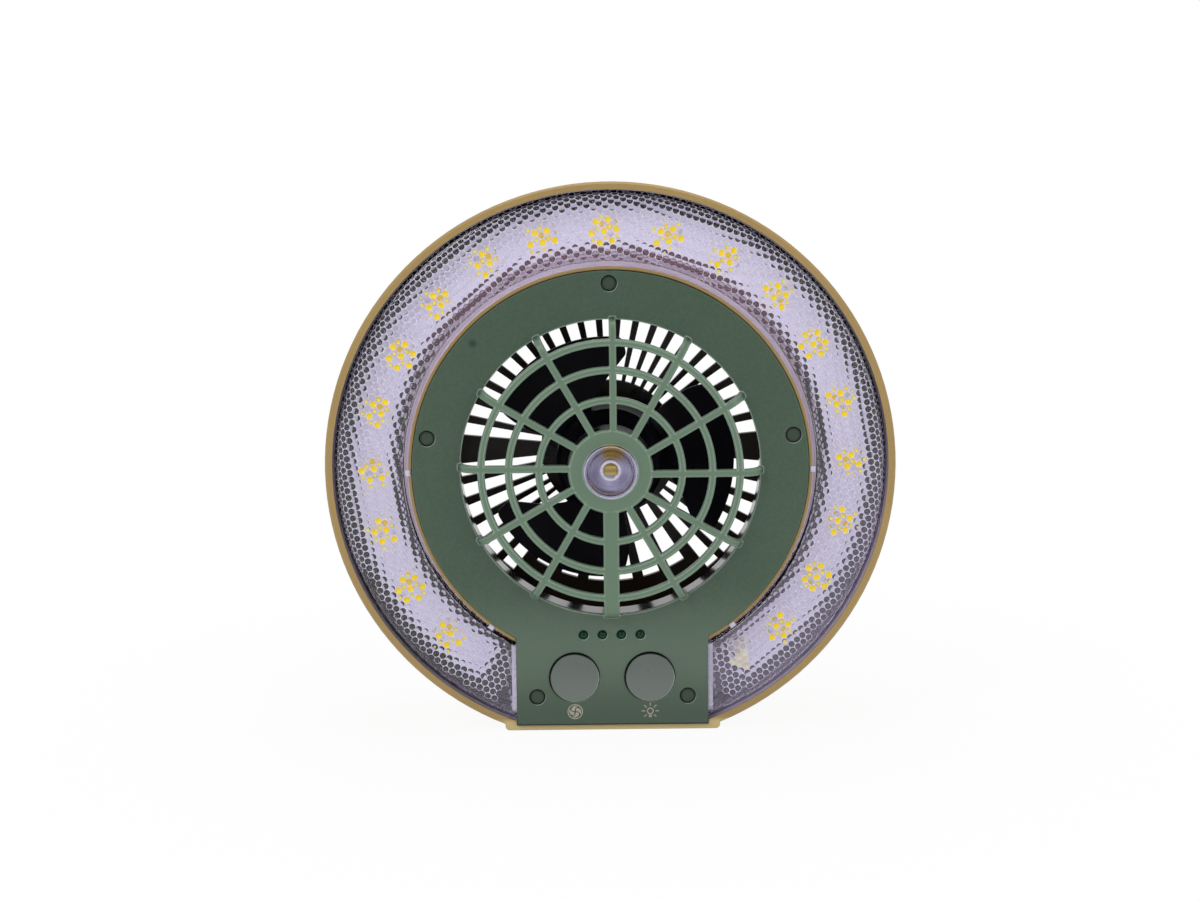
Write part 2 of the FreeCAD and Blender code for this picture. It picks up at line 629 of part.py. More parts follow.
def make_case_outline(inset):
    """Outline of the rear case, moved inwards by an inset."""
    front = (CASE_RADIUS - inset, REAR_START)
    side = (CASE_RADIUS - inset - SIDE_DRAFT, REAR_START + SIDE_LENGTH)
    turn_start = (CASE_RADIUS - inset - CORNER_START_INSET, CASE_DEPTH - inset - CORNER_START_RISE)
    turn_middle = (CASE_RADIUS - inset - CORNER_MIDDLE_INSET, CASE_DEPTH - inset - CORNER_MIDDLE_RISE)
    rear = (REAR_FACE_RADIUS, CASE_DEPTH - inset)
    return [
        line((0, REAR_START), front),
        arc(front, side, turn_start),
        arc(turn_start, turn_middle, rear),
        line(rear, (0, CASE_DEPTH - inset)),
        line((0, CASE_DEPTH - inset), (0, REAR_START)),
    ]


def make_cell_cradle():
    """Two ribs under a cell that lies at the top, before it is turned to its place."""
    ribs = []
    half = CELL_RADIUS + CRADLE_RIB_MARGIN
    for side in (-1, 1):
        middle = side * CRADLE_RIB_SPACING / 2
        ribs.append(block(
            middle - CRADLE_RIB_THICKNESS / 2, middle + CRADLE_RIB_THICKNESS / 2,
            CELL_DEPTH, CASE_INSIDE + CASE_WALL / 2, CELL_ORBIT - half, CELL_ORBIT + half,
        ))
    bed = cross_rod(CELL_RADIUS + SEAT_GAP, -CELL_LENGTH / 2, CELL_LENGTH / 2, CELL_DEPTH, CELL_ORBIT)
    return joined(ribs).cut(bed)


def make_rear_housing():
    """Rear shell with the air chamber, the cells' cradles, the screw bosses and the bail's ears."""
    outside = turned(make_case_outline(0))
    inside = turned(make_case_outline(CASE_WALL))
    foot_top = -RING_INNER
    foot = foot_slab(REAR_START, CASE_DEPTH, foot_top)
    foot = rounded_on(foot, FOOT_CORNER, lambda box: box.YMin > CASE_DEPTH - MATCH)
    outside = above_foot(outside).fuse(foot).removeSplitter()
    foot_room = block(
        -FOOT_HALF_WIDTH + CASE_WALL, FOOT_HALF_WIDTH - CASE_WALL,
        REAR_START - CUT_PAST, CASE_INSIDE, -AXIS_HEIGHT + CASE_WALL, foot_top,
    )
    inside = inside.cut(block(-FAR, FAR, -FAR, FAR, -FAR, -AXIS_HEIGHT + CASE_WALL))
    shell = outside.cut(inside).cut(foot_room)

    chamber_front = CHAMBER_FRONT_RADIUS
    chamber_back = CHAMBER_REAR_RADIUS
    chamber = turned([
        (chamber_front, REAR_START),
        (chamber_front + CHAMBER_WALL, REAR_START),
        (chamber_back + CHAMBER_WALL, CHAMBER_CONE_END),
        (chamber_back + CHAMBER_WALL, LEDGE_DEPTH - CASE_WALL),
        (LEDGE_OUTER, LEDGE_DEPTH - CASE_WALL),
        (LEDGE_OUTER, CASE_DEPTH - CASE_WALL / 2),
        (chamber_back, CASE_DEPTH - CASE_WALL / 2),
        (chamber_back, CHAMBER_CONE_END),
    ])
    bosses = [
        rod(CASE_BOSS_RADIUS, REAR_START, LEDGE_DEPTH, x, z) for x, z in case_screw_places()
    ]
    cradles = around(make_cell_cradle(), CELL_ANGLES)
    rail_inner = PORT_BOARD_HALF_WIDTH - PORT_RAIL_WIDTH
    rails = mirrored_blocks(
        rail_inner, rail_inner + PORT_RAIL_WIDTH,
        PORT_BOARD_BACK - PORT_BOARD_LENGTH, CASE_INSIDE + CASE_WALL / 2,
        -AXIS_HEIGHT + CASE_WALL / 2, PORT_BOARD_TOP - BOARD_THICKNESS - SEAT_GAP,
    )
    ear = block(
        EAR_X, EAR_X + EAR_THICKNESS, CASE_DEPTH - CASE_WALL / 2, BAIL_PIVOT_DEPTH,
        -EAR_RADIUS, EAR_RADIUS,
    )
    ear_top = cross_rod(EAR_RADIUS, EAR_X, EAR_X + EAR_THICKNESS, BAIL_PIVOT_DEPTH)
    ear = ear.fuse(ear_top).removeSplitter()
    ears = [ear, ear.mirror(FAN_CENTRE, RIGHT_AXIS)]
    body = joined([shell, chamber] + bosses + cradles + [rails] + ears)

    airway = turned([
        (0, REAR_START - CUT_PAST),
        (chamber_front, REAR_START - CUT_PAST),
        (chamber_front, REAR_START),
        (chamber_back, CHAMBER_CONE_END),
        (chamber_back, LEDGE_DEPTH),
        (PLATE_RECESS_RADIUS, LEDGE_DEPTH),
        (PLATE_RECESS_RADIUS, CASE_DEPTH + CUT_PAST),
        (0, CASE_DEPTH + CUT_PAST),
    ])
    holes = [airway]
    for x, z in case_screw_places():
        holes.append(rod(SCREW_SHANK_RADIUS + FIT_GAP, REAR_START - CUT_PAST, CASE_DEPTH, x, z))
    pin_reach = EAR_X + EAR_THICKNESS + CUT_PAST
    holes.append(cross_rod(BAIL_PIN_RADIUS + RUNNING_GAP, -pin_reach, pin_reach, BAIL_PIVOT_DEPTH))
    port_half = PORT_WIDTH / 2 + FIT_GAP
    port_rise = PORT_HEIGHT / 2 + FIT_GAP
    port_hole = block(
        -port_half, port_half, CASE_INSIDE - CUT_PAST, CASE_DEPTH + CUT_PAST,
        -PORT_DROP - port_rise, -PORT_DROP + port_rise,
    )
    holes.append(port_hole)
    for hole in holes:
        body = body.cut(hole)
    return body


def make_spoke(width, depth, offset):
    """Spoke at the top: flat to the outer ring, then bent back into the panel."""
    ring_edge = GRILLE_RING_RADII[0] + GRILLE_BAR / 2
    rim = OPENING_RADIUS + GRILLE_FOOT_LAP
    foot = rim - GRILLE_FOOT_SETBACK
    front_end = (rim, PANEL_THICKNESS / 4)
    back_end = (rim, PANEL_THICKNESS * 3 / 4)
    reach = rim - ring_edge
    fall = front_end[1] - GRILLE_FRONT
    front_bend = (ring_edge + reach * HALF_BEND, GRILLE_FRONT + fall * (1 - HALF_BEND))
    back_start = (ring_edge - depth / 2, GRILLE_FRONT + depth)
    back_bend = (
        back_start[0] + (foot - back_start[0]) * HALF_BEND,
        back_start[1] + (back_end[1] - back_start[1]) * (1 - HALF_BEND),
    )
    back_foot = (foot, back_end[1])
    start = HUB_RADIUS - HUB_WALL / 2
    outline = [
        line((start, GRILLE_FRONT), (ring_edge, GRILLE_FRONT)),
        arc((ring_edge, GRILLE_FRONT), front_bend, front_end),
        line(front_end, back_end),
        line(back_end, back_foot),
        arc(back_foot, back_bend, back_start),
        line(back_start, (start, GRILLE_FRONT + depth)),
        line((start, GRILLE_FRONT + depth), (start, GRILLE_FRONT)),
    ]
    face = Part.Face(Part.Wire(outline))
    face.translate(FreeCAD.Vector(0, 0, -width / 2))
    spoke = face.extrude(FreeCAD.Vector(0, 0, width))
    spoke = rounded_on(
        spoke,
        BAR_EDGE,
        lambda box: box.YMax < front_end[1] + MATCH and box.ZLength < MATCH
        and box.XLength > reach / 2 and box.YMin < GRILLE_FRONT + MATCH
        and abs(abs(box.ZMin) - width / 2) < MATCH,
    )
    spoke.rotate(FAN_CENTRE, BACK_AXIS, -90)
    spoke.translate(FreeCAD.Vector(offset, 0, 0))
    return spoke


def make_grille():
    """Raised front grille: spokes, rings and the hub that holds the spotlight."""
    bottom = SPOKE_COUNT // 2
    pitch = 360 / SPOKE_COUNT
    spoke_angles = [pitch * number for number in range(SPOKE_COUNT) if number != bottom]
    spokes = around(make_spoke(GRILLE_BAR, GRILLE_BAR, SPOKE_OFFSET), spoke_angles)
    spokes.append(turn(make_spoke(WIRE_SPOKE_WIDTH, WIRE_SPOKE_DEPTH, 0), 180))
    rings = []
    half = GRILLE_BAR / 2
    for radius in GRILLE_RING_RADII:
        rings.append(turned([
            (radius - half, GRILLE_BACK),
            (radius - half, GRILLE_FRONT + BAR_EDGE),
            (radius - half + BAR_EDGE, GRILLE_FRONT),
            (radius + half - BAR_EDGE, GRILLE_FRONT),
            (radius + half, GRILLE_FRONT + BAR_EDGE),
            (radius + half, GRILLE_BACK),
        ]))
    hole = SPOT_RADIUS + MOVE_GAP
    edge = HUB_WALL / 2
    hub = turned([
        (hole, GRILLE_FRONT),
        (HUB_RADIUS - edge, GRILLE_FRONT),
        (HUB_RADIUS, GRILLE_FRONT + edge),
        (HUB_RADIUS, HUB_BACK),
        (HUB_RADIUS - HUB_WALL, HUB_BACK),
        (HUB_RADIUS - HUB_WALL, GRILLE_FRONT + HUB_FRONT_WALL),
        (hole, GRILLE_FRONT + HUB_FRONT_WALL),
    ])
    return joined(spokes + rings + [hub])


def make_front_panel():
    """Green panel with its tab, screw wells and button holes, in one piece with the grille."""
    plate = keyhole(PANEL_RADIUS, TAB_HALF_WIDTH, TAB_DROP, 0, PANEL_THICKNESS)
    plate = plate.cut(rod(OPENING_RADIUS, -CUT_PAST, PANEL_THICKNESS + CUT_PAST))
    bosses = []
    holes = []
    for x, z in panel_screw_places():
        bosses.append(rod(PANEL_BOSS_RADIUS, PANEL_THICKNESS / 2, PANEL_BOSS_BACK, x, z))
        holes.append(rod(PLUG_RADIUS + FIT_GAP, -CUT_PAST, HEAD_SEAT, x, z))
        holes.append(rod(SCREW_SHANK_RADIUS + FIT_GAP, -CUT_PAST, FAR, x, z))
    for x, z in button_places():
        holes.append(rod(BUTTON_RADIUS + MOVE_GAP, -CUT_PAST, FAR, x, z))
    for x in INDICATOR_XS:
        holes.append(rod(INDICATOR_RADIUS + SEAT_GAP, -CUT_PAST, FAR, x, -INDICATOR_DROP))
    panel = joined([plate] + bosses).cut(joined(holes))
    return panel.fuse(make_grille()).removeSplitter()


def make_screw(x, z, head_front, head_radius, head_height, shank_radius, length):
    """Screw along the depth with its head to the front and a cross slot in it."""
    seat = head_front + head_height
    slot_floor = head_front + head_height / 2
    slot_reach = head_radius * 0.6
    slot_half = head_radius * SCREW_SLOT_SHARE
    head = rod(head_radius, head_front, seat, x, z)
    across = block(x - slot_reach, x + slot_reach, head_front, slot_floor, z - slot_half, z + slot_half)
    upright = block(x - slot_half, x + slot_half, head_front, slot_floor, z - slot_reach, z + slot_reach)
    shank = rod(shank_radius, seat - OVERLAP, seat + length, x, z)
    return head.cut(across.fuse(upright)).fuse(shank)


def make_back_screw(x, z, head_back, head_radius, head_height, shank_radius, length):
    """Screw along the depth with its head to the rear."""
    screw = make_screw(0, 0, 0, head_radius, head_height, shank_radius, length)
    screw.rotate(FAN_CENTRE, RIGHT_AXIS, 180)
    screw.translate(FreeCAD.Vector(x, head_back, z))
    return screw


def make_panel_screws():
    head_front = HEAD_SEAT - SCREW_HEAD_HEIGHT
    return Part.makeCompound([
        make_screw(x, z, head_front, SCREW_HEAD_RADIUS, SCREW_HEAD_HEIGHT,
                   SCREW_SHANK_RADIUS, PANEL_SCREW_LENGTH)
        for x, z in panel_screw_places()
    ])


def make_screw_plugs():
    plugs = []
    for x, z in panel_screw_places():
        plug = rod(PLUG_RADIUS, SEAT_GAP, SEAT_GAP + PLUG_HEIGHT, x, z)
        plugs.append(plug.makeChamfer(PLUG_HEIGHT / 5, front_edge_at(plug, SEAT_GAP)))
    return Part.makeCompound(plugs)


def make_duct_ring():
    """Collar behind the opening; its flange is notched where a panel screw's boss passes."""
    front = SHELF_FRONT
    ring = turned([
        (DUCT_RADIUS, front),
        (DUCT_FLANGE_RADIUS, front),
        (DUCT_FLANGE_RADIUS, front + DUCT_FLANGE_THICKNESS),
        (DUCT_OUTER, front + DUCT_FLANGE_THICKNESS),
        (DUCT_OUTER, front + DUCT_LENGTH - DUCT_WALL / 2),
        (DUCT_OUTER - DUCT_WALL / 2, front + DUCT_LENGTH),
        (DUCT_RADIUS, front + DUCT_LENGTH),
    ])
    boss_rooms = [rod(PANEL_BOSS_RADIUS + FIT_GAP, 0, FAR, x, z) for x, z in panel_screw_places()]
    return ring.cut(joined(boss_rooms))


def make_light_lens():
    """C-shaped lens: a thin shell with rolled borders, closed by a wall at each end."""
    inner_roll = LENS_INNER_ROLL
    roll_start = LENS_OUTER - LENS_ROLL
    edge_front = LENS_FRONT + LENS_DROP
    edge_back = edge_front + LENS_SKIRT
    inner_back = LENS_INNER_SEAT_DEPTH - SEAT_GAP
    inner_bend = inner_roll * (1 - HALF_BEND)
    outer_bend = (roll_start + LENS_ROLL * HALF_BEND, LENS_FRONT + LENS_DROP * (1 - HALF_BEND))
    under = LENS_FRONT + LENS_WALL
    under_start = LENS_INNER + LENS_WALL
    under_end = LENS_OUTER - LENS_WALL
    under_roll = under_end - roll_start
    under_bend = (roll_start + under_roll * HALF_BEND, under + (edge_front - under) * (1 - HALF_BEND))
    outline = [
        line((LENS_INNER, inner_back), (LENS_INNER, LENS_FRONT + inner_roll)),
        arc((LENS_INNER, LENS_FRONT + inner_roll),
            (LENS_INNER + inner_bend, LENS_FRONT + inner_bend),
            (LENS_INNER + inner_roll, LENS_FRONT)),
        line((LENS_INNER + inner_roll, LENS_FRONT), (roll_start, LENS_FRONT)),
        arc((roll_start, LENS_FRONT), outer_bend, (LENS_OUTER, edge_front)),
        line((LENS_OUTER, edge_front), (LENS_OUTER, edge_back)),
        line((LENS_OUTER, edge_back), (under_end, edge_back)),
        line((under_end, edge_back), (under_end, edge_front)),
        arc((under_end, edge_front), under_bend, (roll_start, under)),
        line((roll_start, under), (under_start, under)),
        line((under_start, under), (under_start, inner_back)),
        line((under_start, inner_back), (LENS_INNER, inner_back)),
    ]
    shell = turned(outline)
    gap = block(-LENS_END_X, LENS_END_X, -FAR, FAR, -FAR, 0)
    wall_back = TRAY_DEPTH - SEAT_GAP
    wall_inner = under_start + FIT_GAP
    wall_outer = under_end - FIT_GAP
    filled = turned(outline[:5] + [
        line((LENS_OUTER, edge_back), (wall_outer, edge_back)),
        line((wall_outer, edge_back), (wall_outer, wall_back)),
        line((wall_outer, wall_back), (wall_inner, wall_back)),
        line((wall_inner, wall_back), (wall_inner, inner_back)),
        line((wall_inner, inner_back), (LENS_INNER, inner_back)),
    ])
    end_walls = mirrored_blocks(LENS_END_X, LENS_END_X + LENS_WALL, -FAR, FAR, -FAR, -RIM_WALL)
    end_walls = filled.common(end_walls)
    lens = shell.cut(gap).fuse(end_walls).removeSplitter()
    return above_foot(lens)


def make_led_board():
    half = LED_BOARD_WIDTH / 2
    ring = tube(LED_RADIUS + half, LED_RADIUS - half, LED_BOARD_FRONT, TRAY_DEPTH)
    gap = sector(
        LED_BOARD_END, 360 - LED_BOARD_END, LED_RADIUS + LED_BOARD_WIDTH,
        LED_BOARD_FRONT - CUT_PAST, TRAY_DEPTH + CUT_PAST,
    )
    return ring.cut(gap)


def make_ring_leds():
    """Square packages with a slightly raised round window."""
    half = LED_SIZE / 2
    led = block(-half, half, LED_FRONT, LED_BOARD_FRONT, LED_RADIUS - half, LED_RADIUS + half)
    window = rod(LED_WINDOW_RADIUS, LED_FRONT - SEAT_GAP, LED_FRONT + SEAT_GAP, 0, LED_RADIUS)
    return Part.makeCompound(around(led.fuse(window), LED_ANGLES))


def make_led_connector():
    x, z = polar(CONNECTOR_ORBIT, CONNECTOR_ANGLE)
    blob = rod(CONNECTOR_RADIUS, CONNECTOR_FRONT, LED_BOARD_FRONT, x, z)
    return blob.makeFillet(CONNECTOR_HEIGHT / 2, front_edge_at(blob, CONNECTOR_FRONT))


def make_spot_lens():
    """Clear cup that flares from a ring round its lamp to the rim, held by a flange."""
    flange_front = GRILLE_FRONT + HUB_FRONT_WALL + SEAT_GAP
    flange_back = flange_front + SPOT_FLANGE_THICKNESS
    seat = HUB_BACK - SPOT_LED_HEIGHT - MOVE_GAP
    inner = SPOT_RADIUS - SPOT_WALL
    floor = seat - SPOT_WALL
    ring_front = seat - 3 * SPOT_WALL
    ring_inner = SPOT_RING_RADIUS - SPOT_RING_WALL
    return turned([
        (0, floor),
        (ring_inner, floor),
        (ring_inner, ring_front),
        (SPOT_RING_RADIUS, ring_front),
        (SPOT_RING_RADIUS, floor),
        (SPOT_RING_RADIUS + SPOT_WALL, floor),
        (inner, SPOT_FRONT),
        (SPOT_RADIUS, SPOT_FRONT),
        (SPOT_RADIUS, flange_front),
        (SPOT_RADIUS + SPOT_FLANGE, flange_front),
        (SPOT_RADIUS + SPOT_FLANGE, flange_back),
        (inner, flange_back),
        (SPOT_SEAT_RADIUS + SPOT_WALL, seat),
        (0, seat),
    ])


def make_spot_board():
    return rod(HUB_RADIUS - HUB_WALL - FIT_GAP, HUB_BACK, HUB_BACK + SPOT_BOARD_THICKNESS)


def make_spot_led():
    base = rod(SPOT_LED_RADIUS, HUB_BACK - SPOT_LED_HEIGHT * 0.6, HUB_BACK)
    front = HUB_BACK - SPOT_LED_HEIGHT
    dome = Part.makeSphere(SPOT_LED_RADIUS, FreeCAD.Vector(0, front + SPOT_LED_RADIUS, 0))
    dome = dome.common(rod(SPOT_LED_RADIUS - 2 * SEAT_GAP, front - CUT_PAST, HUB_BACK))
    return base.fuse(dome).removeSplitter()


def make_spot_cap():
    """Cover behind the spotlight's board."""
    board_back = HUB_BACK + SPOT_BOARD_THICKNESS + SEAT_GAP
    seat = HUB_RADIUS - HUB_WALL
    ledge = seat - 2 * SPOT_CAP_WALL
    front = HUB_BACK + SEAT_GAP
    back = HUB_BACK + SPOT_CAP_LENGTH
    return turned([
        (seat, front),
        (HUB_RADIUS, front),
        (HUB_RADIUS, HUB_BACK + SPOT_CAP_LENGTH * 0.6),
        (HUB_RADIUS - SPOT_CAP_LENGTH * 0.35, back),
        (0, back),
        (0, back - SPOT_CAP_WALL),
        (ledge, back - SPOT_CAP_WALL),
        (ledge, board_back),
        (seat, board_back),
    ])


def make_button(x):
    """Cap through the panel, a flange behind it and a stem towards its switch."""
    cap = rod(BUTTON_RADIUS, -BUTTON_PROUD, BUTTON_FLANGE_FRONT + OVERLAP, x, -BUTTON_DROP)
    cap = cap.makeFillet(BUTTON_EDGE, front_edge_at(cap, -BUTTON_PROUD))
    flange_back = BUTTON_FLANGE_FRONT + BUTTON_FLANGE_THICKNESS
    flange = rod(BUTTON_RADIUS + BUTTON_FLANGE, BUTTON_FLANGE_FRONT, flange_back, x, -BUTTON_DROP)
    stem = rod(BUTTON_STEM_RADIUS, flange_back - OVERLAP, BUTTON_STEM_END, x, -BUTTON_DROP)
    return joined([cap, flange, stem])


def make_tact_switches():
    switches = []
    half = SWITCH_SIZE / 2
    for x, z in button_places():
        base = block(x - half, x + half, SWITCH_FRONT, CONTROL_BOARD_DEPTH, z - half, z + half)
        plunger = rod(PLUNGER_RADIUS, PLUNGER_FRONT, SWITCH_FRONT + OVERLAP, x, z)
        switches.append(base.fuse(plunger))
    return Part.makeCompound(switches)


def make_control_board():
    half = TAB_HALF_WIDTH - CONTROL_BOARD_INSET
    board = block(
        -half, half, CONTROL_BOARD_DEPTH, CONTROL_BOARD_BACK, -TAB_DROP + SIDE_WALL, -CONTROL_BOARD_TOP,
    )
    holes = []
    for x, z in panel_screw_places():
        holes.append(rod(FRAME_BOSS_RADIUS + MOVE_GAP, 0, FAR, x, z))
    for x, z in case_screw_places():
        holes.append(rod(CASE_BOSS_RADIUS + MOVE_GAP, 0, FAR, x, z))
    for x, z in board_screw_places():
        holes.append(rod(SMALL_PILOT_RADIUS + SEAT_GAP, 0, FAR, x, z))
    holes.append(rod(CHAMBER_FRONT_RADIUS + CHAMBER_WALL + MOVE_GAP, 0, FAR))
    return board.cut(joined(holes))


def make_board_screws():
    head_back = CONTROL_BOARD_BACK + SMALL_HEAD_HEIGHT + SEAT_GAP
    return Part.makeCompound([
        make_back_screw(x, z, head_back, SMALL_HEAD_RADIUS, SMALL_HEAD_HEIGHT,
                        SMALL_SCREW_RADIUS, SMALL_SCREW_LENGTH)
        for x, z in board_screw_places()
    ])


def make_indicator_leds():
    """Round-nosed lamps on leads that reach the control board."""
    leds = []
    z = -INDICATOR_DROP
    dome_depth = INDICATOR_RADIUS - INDICATOR_PROUD
    flange_front = INDICATOR_BACK - INDICATOR_FLANGE_THICKNESS
    half = LEAD_SIZE / 2
    for x in INDICATOR_XS:
        dome = Part.makeSphere(INDICATOR_RADIUS, FreeCAD.Vector(x, dome_depth, z))
        dome = dome.common(rod(FAR, -FAR, dome_depth + OVERLAP, x, z))
        barrel = rod(INDICATOR_RADIUS, dome_depth, INDICATOR_BACK, x, z)
        flange = rod(INDICATOR_RADIUS + INDICATOR_FLANGE, flange_front, INDICATOR_BACK, x, z)
        leads = [
            block(x + side * LEAD_SPACING - half, x + side * LEAD_SPACING + half,
                  INDICATOR_BACK - OVERLAP, CONTROL_BOARD_DEPTH, z - half, z + half)
            for side in (-1, 1)
        ]
        leds.append(joined([dome, barrel, flange] + leads))
    return Part.makeCompound(leds)


def make_slot(angle, width, inner, outer):
    """Radial slot cutter with straight sides that follow the angle."""
    back = PLATE_BACK + CUT_PAST
    front = PLATE_FRONT - CUT_PAST
    ring = tube(outer, inner, front, back)
    return ring.common(sector(angle - width / 2, angle + width / 2, outer + CUT_PAST, front, back))


def rear_slots():
    """Angles and sizes of the slots in the rear grille, as seen from the front."""
    pitch = 360 / SLOT_POSITIONS
    slots = []
    for number in range(SLOT_POSITIONS):
        angle = pitch * number
        at_side = abs(abs(angle - 180) - 90) < pitch / 2
        in_lower_sector = abs(angle - 180) < LOWER_SECTOR
        if not at_side and not in_lower_sector:
            slots.append((angle, SLOT_ANGLE, SLOT_INNER_RADIUS, SLOT_OUTER_RADIUS))
    for centre in LOWER_SLOT_CENTRES:
        for angle in (180 - centre, 180 + centre):
            slots.append((angle, LOWER_SLOT_ANGLE, SLOT_INNER_RADIUS, LOWER_SLOT_RADIUS))
    return slots


def make_rear_grille():
    """Slotted plate that closes the air chamber and carries the motor."""
    plate = rod(GRILLE_PLATE_RADIUS, PLATE_FRONT, PLATE_BACK)
    holes = [make_slot(*slot) for slot in rear_slots()]
    for x, z in case_screw_places():
        holes.append(rod(SCREW_SHANK_RADIUS + FIT_GAP, PLATE_FRONT - CUT_PAST, CASE_DEPTH, x, z))
        holes.append(rod(SCREW_HEAD_RADIUS + FIT_GAP, PLATE_BACK - SCREW_HEAD_HEIGHT - SEAT_GAP,
                         CASE_DEPTH, x, z))
    for x, z in motor_screw_places():
        holes.append(rod(SMALL_PILOT_RADIUS, PLATE_FRONT - CUT_PAST, PLATE_BACK - FIT_GAP, x, z))
    for hole in holes:
        plate = plate.cut(hole)
    return plate


def make_case_screws():
    head_back = PLATE_BACK - SEAT_GAP
    length = head_back - SCREW_HEAD_HEIGHT - REAR_START + CASE_SCREW_BITE
    return Part.makeCompound([
        make_back_screw(x, z, head_back, SCREW_HEAD_RADIUS, SCREW_HEAD_HEIGHT, SCREW_SHANK_RADIUS, length)
        for x, z in case_screw_places()
    ])


def blade_point(share, angle):
    """Point of the blade's outline, at a share of the way from its root to its tip."""
    x, z = polar(BLADE_ROOT_RADIUS + share * (BLADE_TIP_RADIUS - BLADE_ROOT_RADIUS), angle)
    return FreeCAD.Vector(x, 0, z)


def blade_curve(points):
    """Smooth edge through points of the blade's outline."""
    curve = Part.BSplineCurve()
    curve.interpolate([blade_point(*point) for point in points])
    return curve.toShape()


def make_blade_column():
    """The blade's outline, seen from the front, drawn out along the depth."""
    leading = BLADE_LEADING_EDGE
    trailing = BLADE_TRAILING_EDGE
    tip = Part.Arc(
        blade_point(*leading[-1]), blade_point(1, BLADE_TIP_MIDDLE), blade_point(*trailing[0]),
    )
    root = Part.Arc(
        blade_point(*trailing[-1]), blade_point(0, BLADE_ROOT_MIDDLE), blade_point(*leading[0]),
    )
    corner = Part.LineSegment(blade_point(*trailing[0]), blade_point(*trailing[1]))
    outline = Part.Wire([
        blade_curve(leading), tip.toShape(), corner.toShape(), blade_curve(trailing[1:]), root.toShape(),
    ])
    front = BLADE_FRONT - BLADE_RISE / 2
    depth = 2 * BLADE_RISE
    column = Part.Face(outline).extrude(BACK_AXIS * depth)
    column.translate(BACK_AXIS * front)
    corner_radius = (BLADE_ROOT_RADIUS + 2 * BLADE_TIP_RADIUS) / 3
    tall = [
        edge for edge in column.Edges
        if edge.BoundBox.YLength > depth / 2
        and hypot(edge.BoundBox.Center.x, edge.BoundBox.Center.z) > corner_radius
    ]
    return column.makeFillet(BLADE_CORNER, tall)


def blade_section(angle):
    """Cut through the twisted slab along a radius."""
    share = (angle - BLADE_BACK_ANGLE) / (BLADE_FRONT_ANGLE - BLADE_BACK_ANGLE)
    front = BLADE_FRONT + BLADE_RISE * (1 - share)
    inner = polar(FAN_HUB_INNER, angle)
    outer = polar(BLADE_TIP_RADIUS + BLADE_THICKNESS, angle)
    points = [
        FreeCAD.Vector(x, depth, z) for (x, z), depth in (
            (inner, front), (outer, front),
            (outer, front + BLADE_THICKNESS), (inner, front + BLADE_THICKNESS),
        )
    ]
    return Part.makePolygon(points + points[:1])


def make_blade():
    """Wide blade with rounded corners: a twisted slab inside a front-view outline."""
    slab = Part.makeLoft([blade_section(angle) for angle in BLADE_SECTION_ANGLES], True)
    return make_blade_column().common(slab)


def make_fan_rotor():
    hub = turned([
        (0, FAN_HUB_FRONT),
        (FAN_HUB_RADIUS - FAN_HUB_EDGE, FAN_HUB_FRONT),
        (FAN_HUB_RADIUS, FAN_HUB_FRONT + FAN_HUB_EDGE),
        (FAN_HUB_RADIUS, FAN_HUB_BACK),
        (FAN_HUB_INNER, FAN_HUB_BACK),
        (FAN_HUB_INNER, FAN_HUB_INSIDE),
        (0, FAN_HUB_INSIDE),
    ])
    blades = around(make_blade(), [360 / BLADE_COUNT * number for number in range(BLADE_COUNT)])
    inside = rod(FAN_HUB_INNER, FAN_HUB_INSIDE, FAN_HUB_BACK + CUT_PAST)
    blades = [blade.cut(inside) for blade in blades]
    return joined([hub] + blades)


def make_rotor_yoke():
    return turned([
        (SHAFT_RADIUS + RUNNING_GAP, YOKE_FRONT),
        (YOKE_OUTER, YOKE_FRONT),
        (YOKE_OUTER, YOKE_BACK),
        (YOKE_INNER, YOKE_BACK),
        (YOKE_INNER, YOKE_FRONT + YOKE_WALL),
        (SHAFT_BOSS_RADIUS, YOKE_FRONT + YOKE_WALL),
        (SHAFT_BOSS_RADIUS, YOKE_FRONT + YOKE_BOSS_LENGTH),
        (SHAFT_RADIUS + RUNNING_GAP, YOKE_FRONT + YOKE_BOSS_LENGTH),
    ])


def make_stator_core():
    bore = BEARING_TUBE_OUTER + STATOR_BORE_GAP
    yoke = tube(STATOR_YOKE_RADIUS, bore, STATOR_FRONT, STATOR_BACK)
    tip_inner = STATOR_RADIUS - TOOTH_TIP
    tooth = block(-TOOTH_WIDTH / 2, TOOTH_WIDTH / 2, STATOR_FRONT, STATOR_BACK,
                  STATOR_YOKE_RADIUS - TOOTH_ROOT, STATOR_RADIUS - TOOTH_TIP / 2)
    tip_ring = tube(STATOR_RADIUS, tip_inner, STATOR_FRONT, STATOR_BACK)
    half_tip = 180 / STATOR_TEETH * TOOTH_TIP_SHARE
    tip = tip_ring.common(sector(-half_tip, half_tip, FAR, STATOR_FRONT, STATOR_BACK))
    angles = [360 / STATOR_TEETH * number for number in range(STATOR_TEETH)]
    return joined([yoke] + around(tooth.fuse(tip), angles))


def make_stator_coils():
    inner = STATOR_YOKE_RADIUS + COIL_ROOT_GAP
    outer = STATOR_RADIUS - TOOTH_TIP - COIL_TIP_GAP
    half = TOOTH_WIDTH / 2
    winding = block(-half - COIL_WALL, half + COIL_WALL, STATOR_FRONT - COIL_WALL,
                    STATOR_BACK + COIL_WALL, inner, outer)
    core = block(-half - RUNNING_GAP, half + RUNNING_GAP, STATOR_FRONT - RUNNING_GAP,
                 STATOR_BACK + RUNNING_GAP, inner - CUT_PAST, outer + CUT_PAST)
    coil = winding.cut(core)
    return Part.makeCompound(around(coil, [360 / STATOR_TEETH * n for n in range(STATOR_TEETH)]))


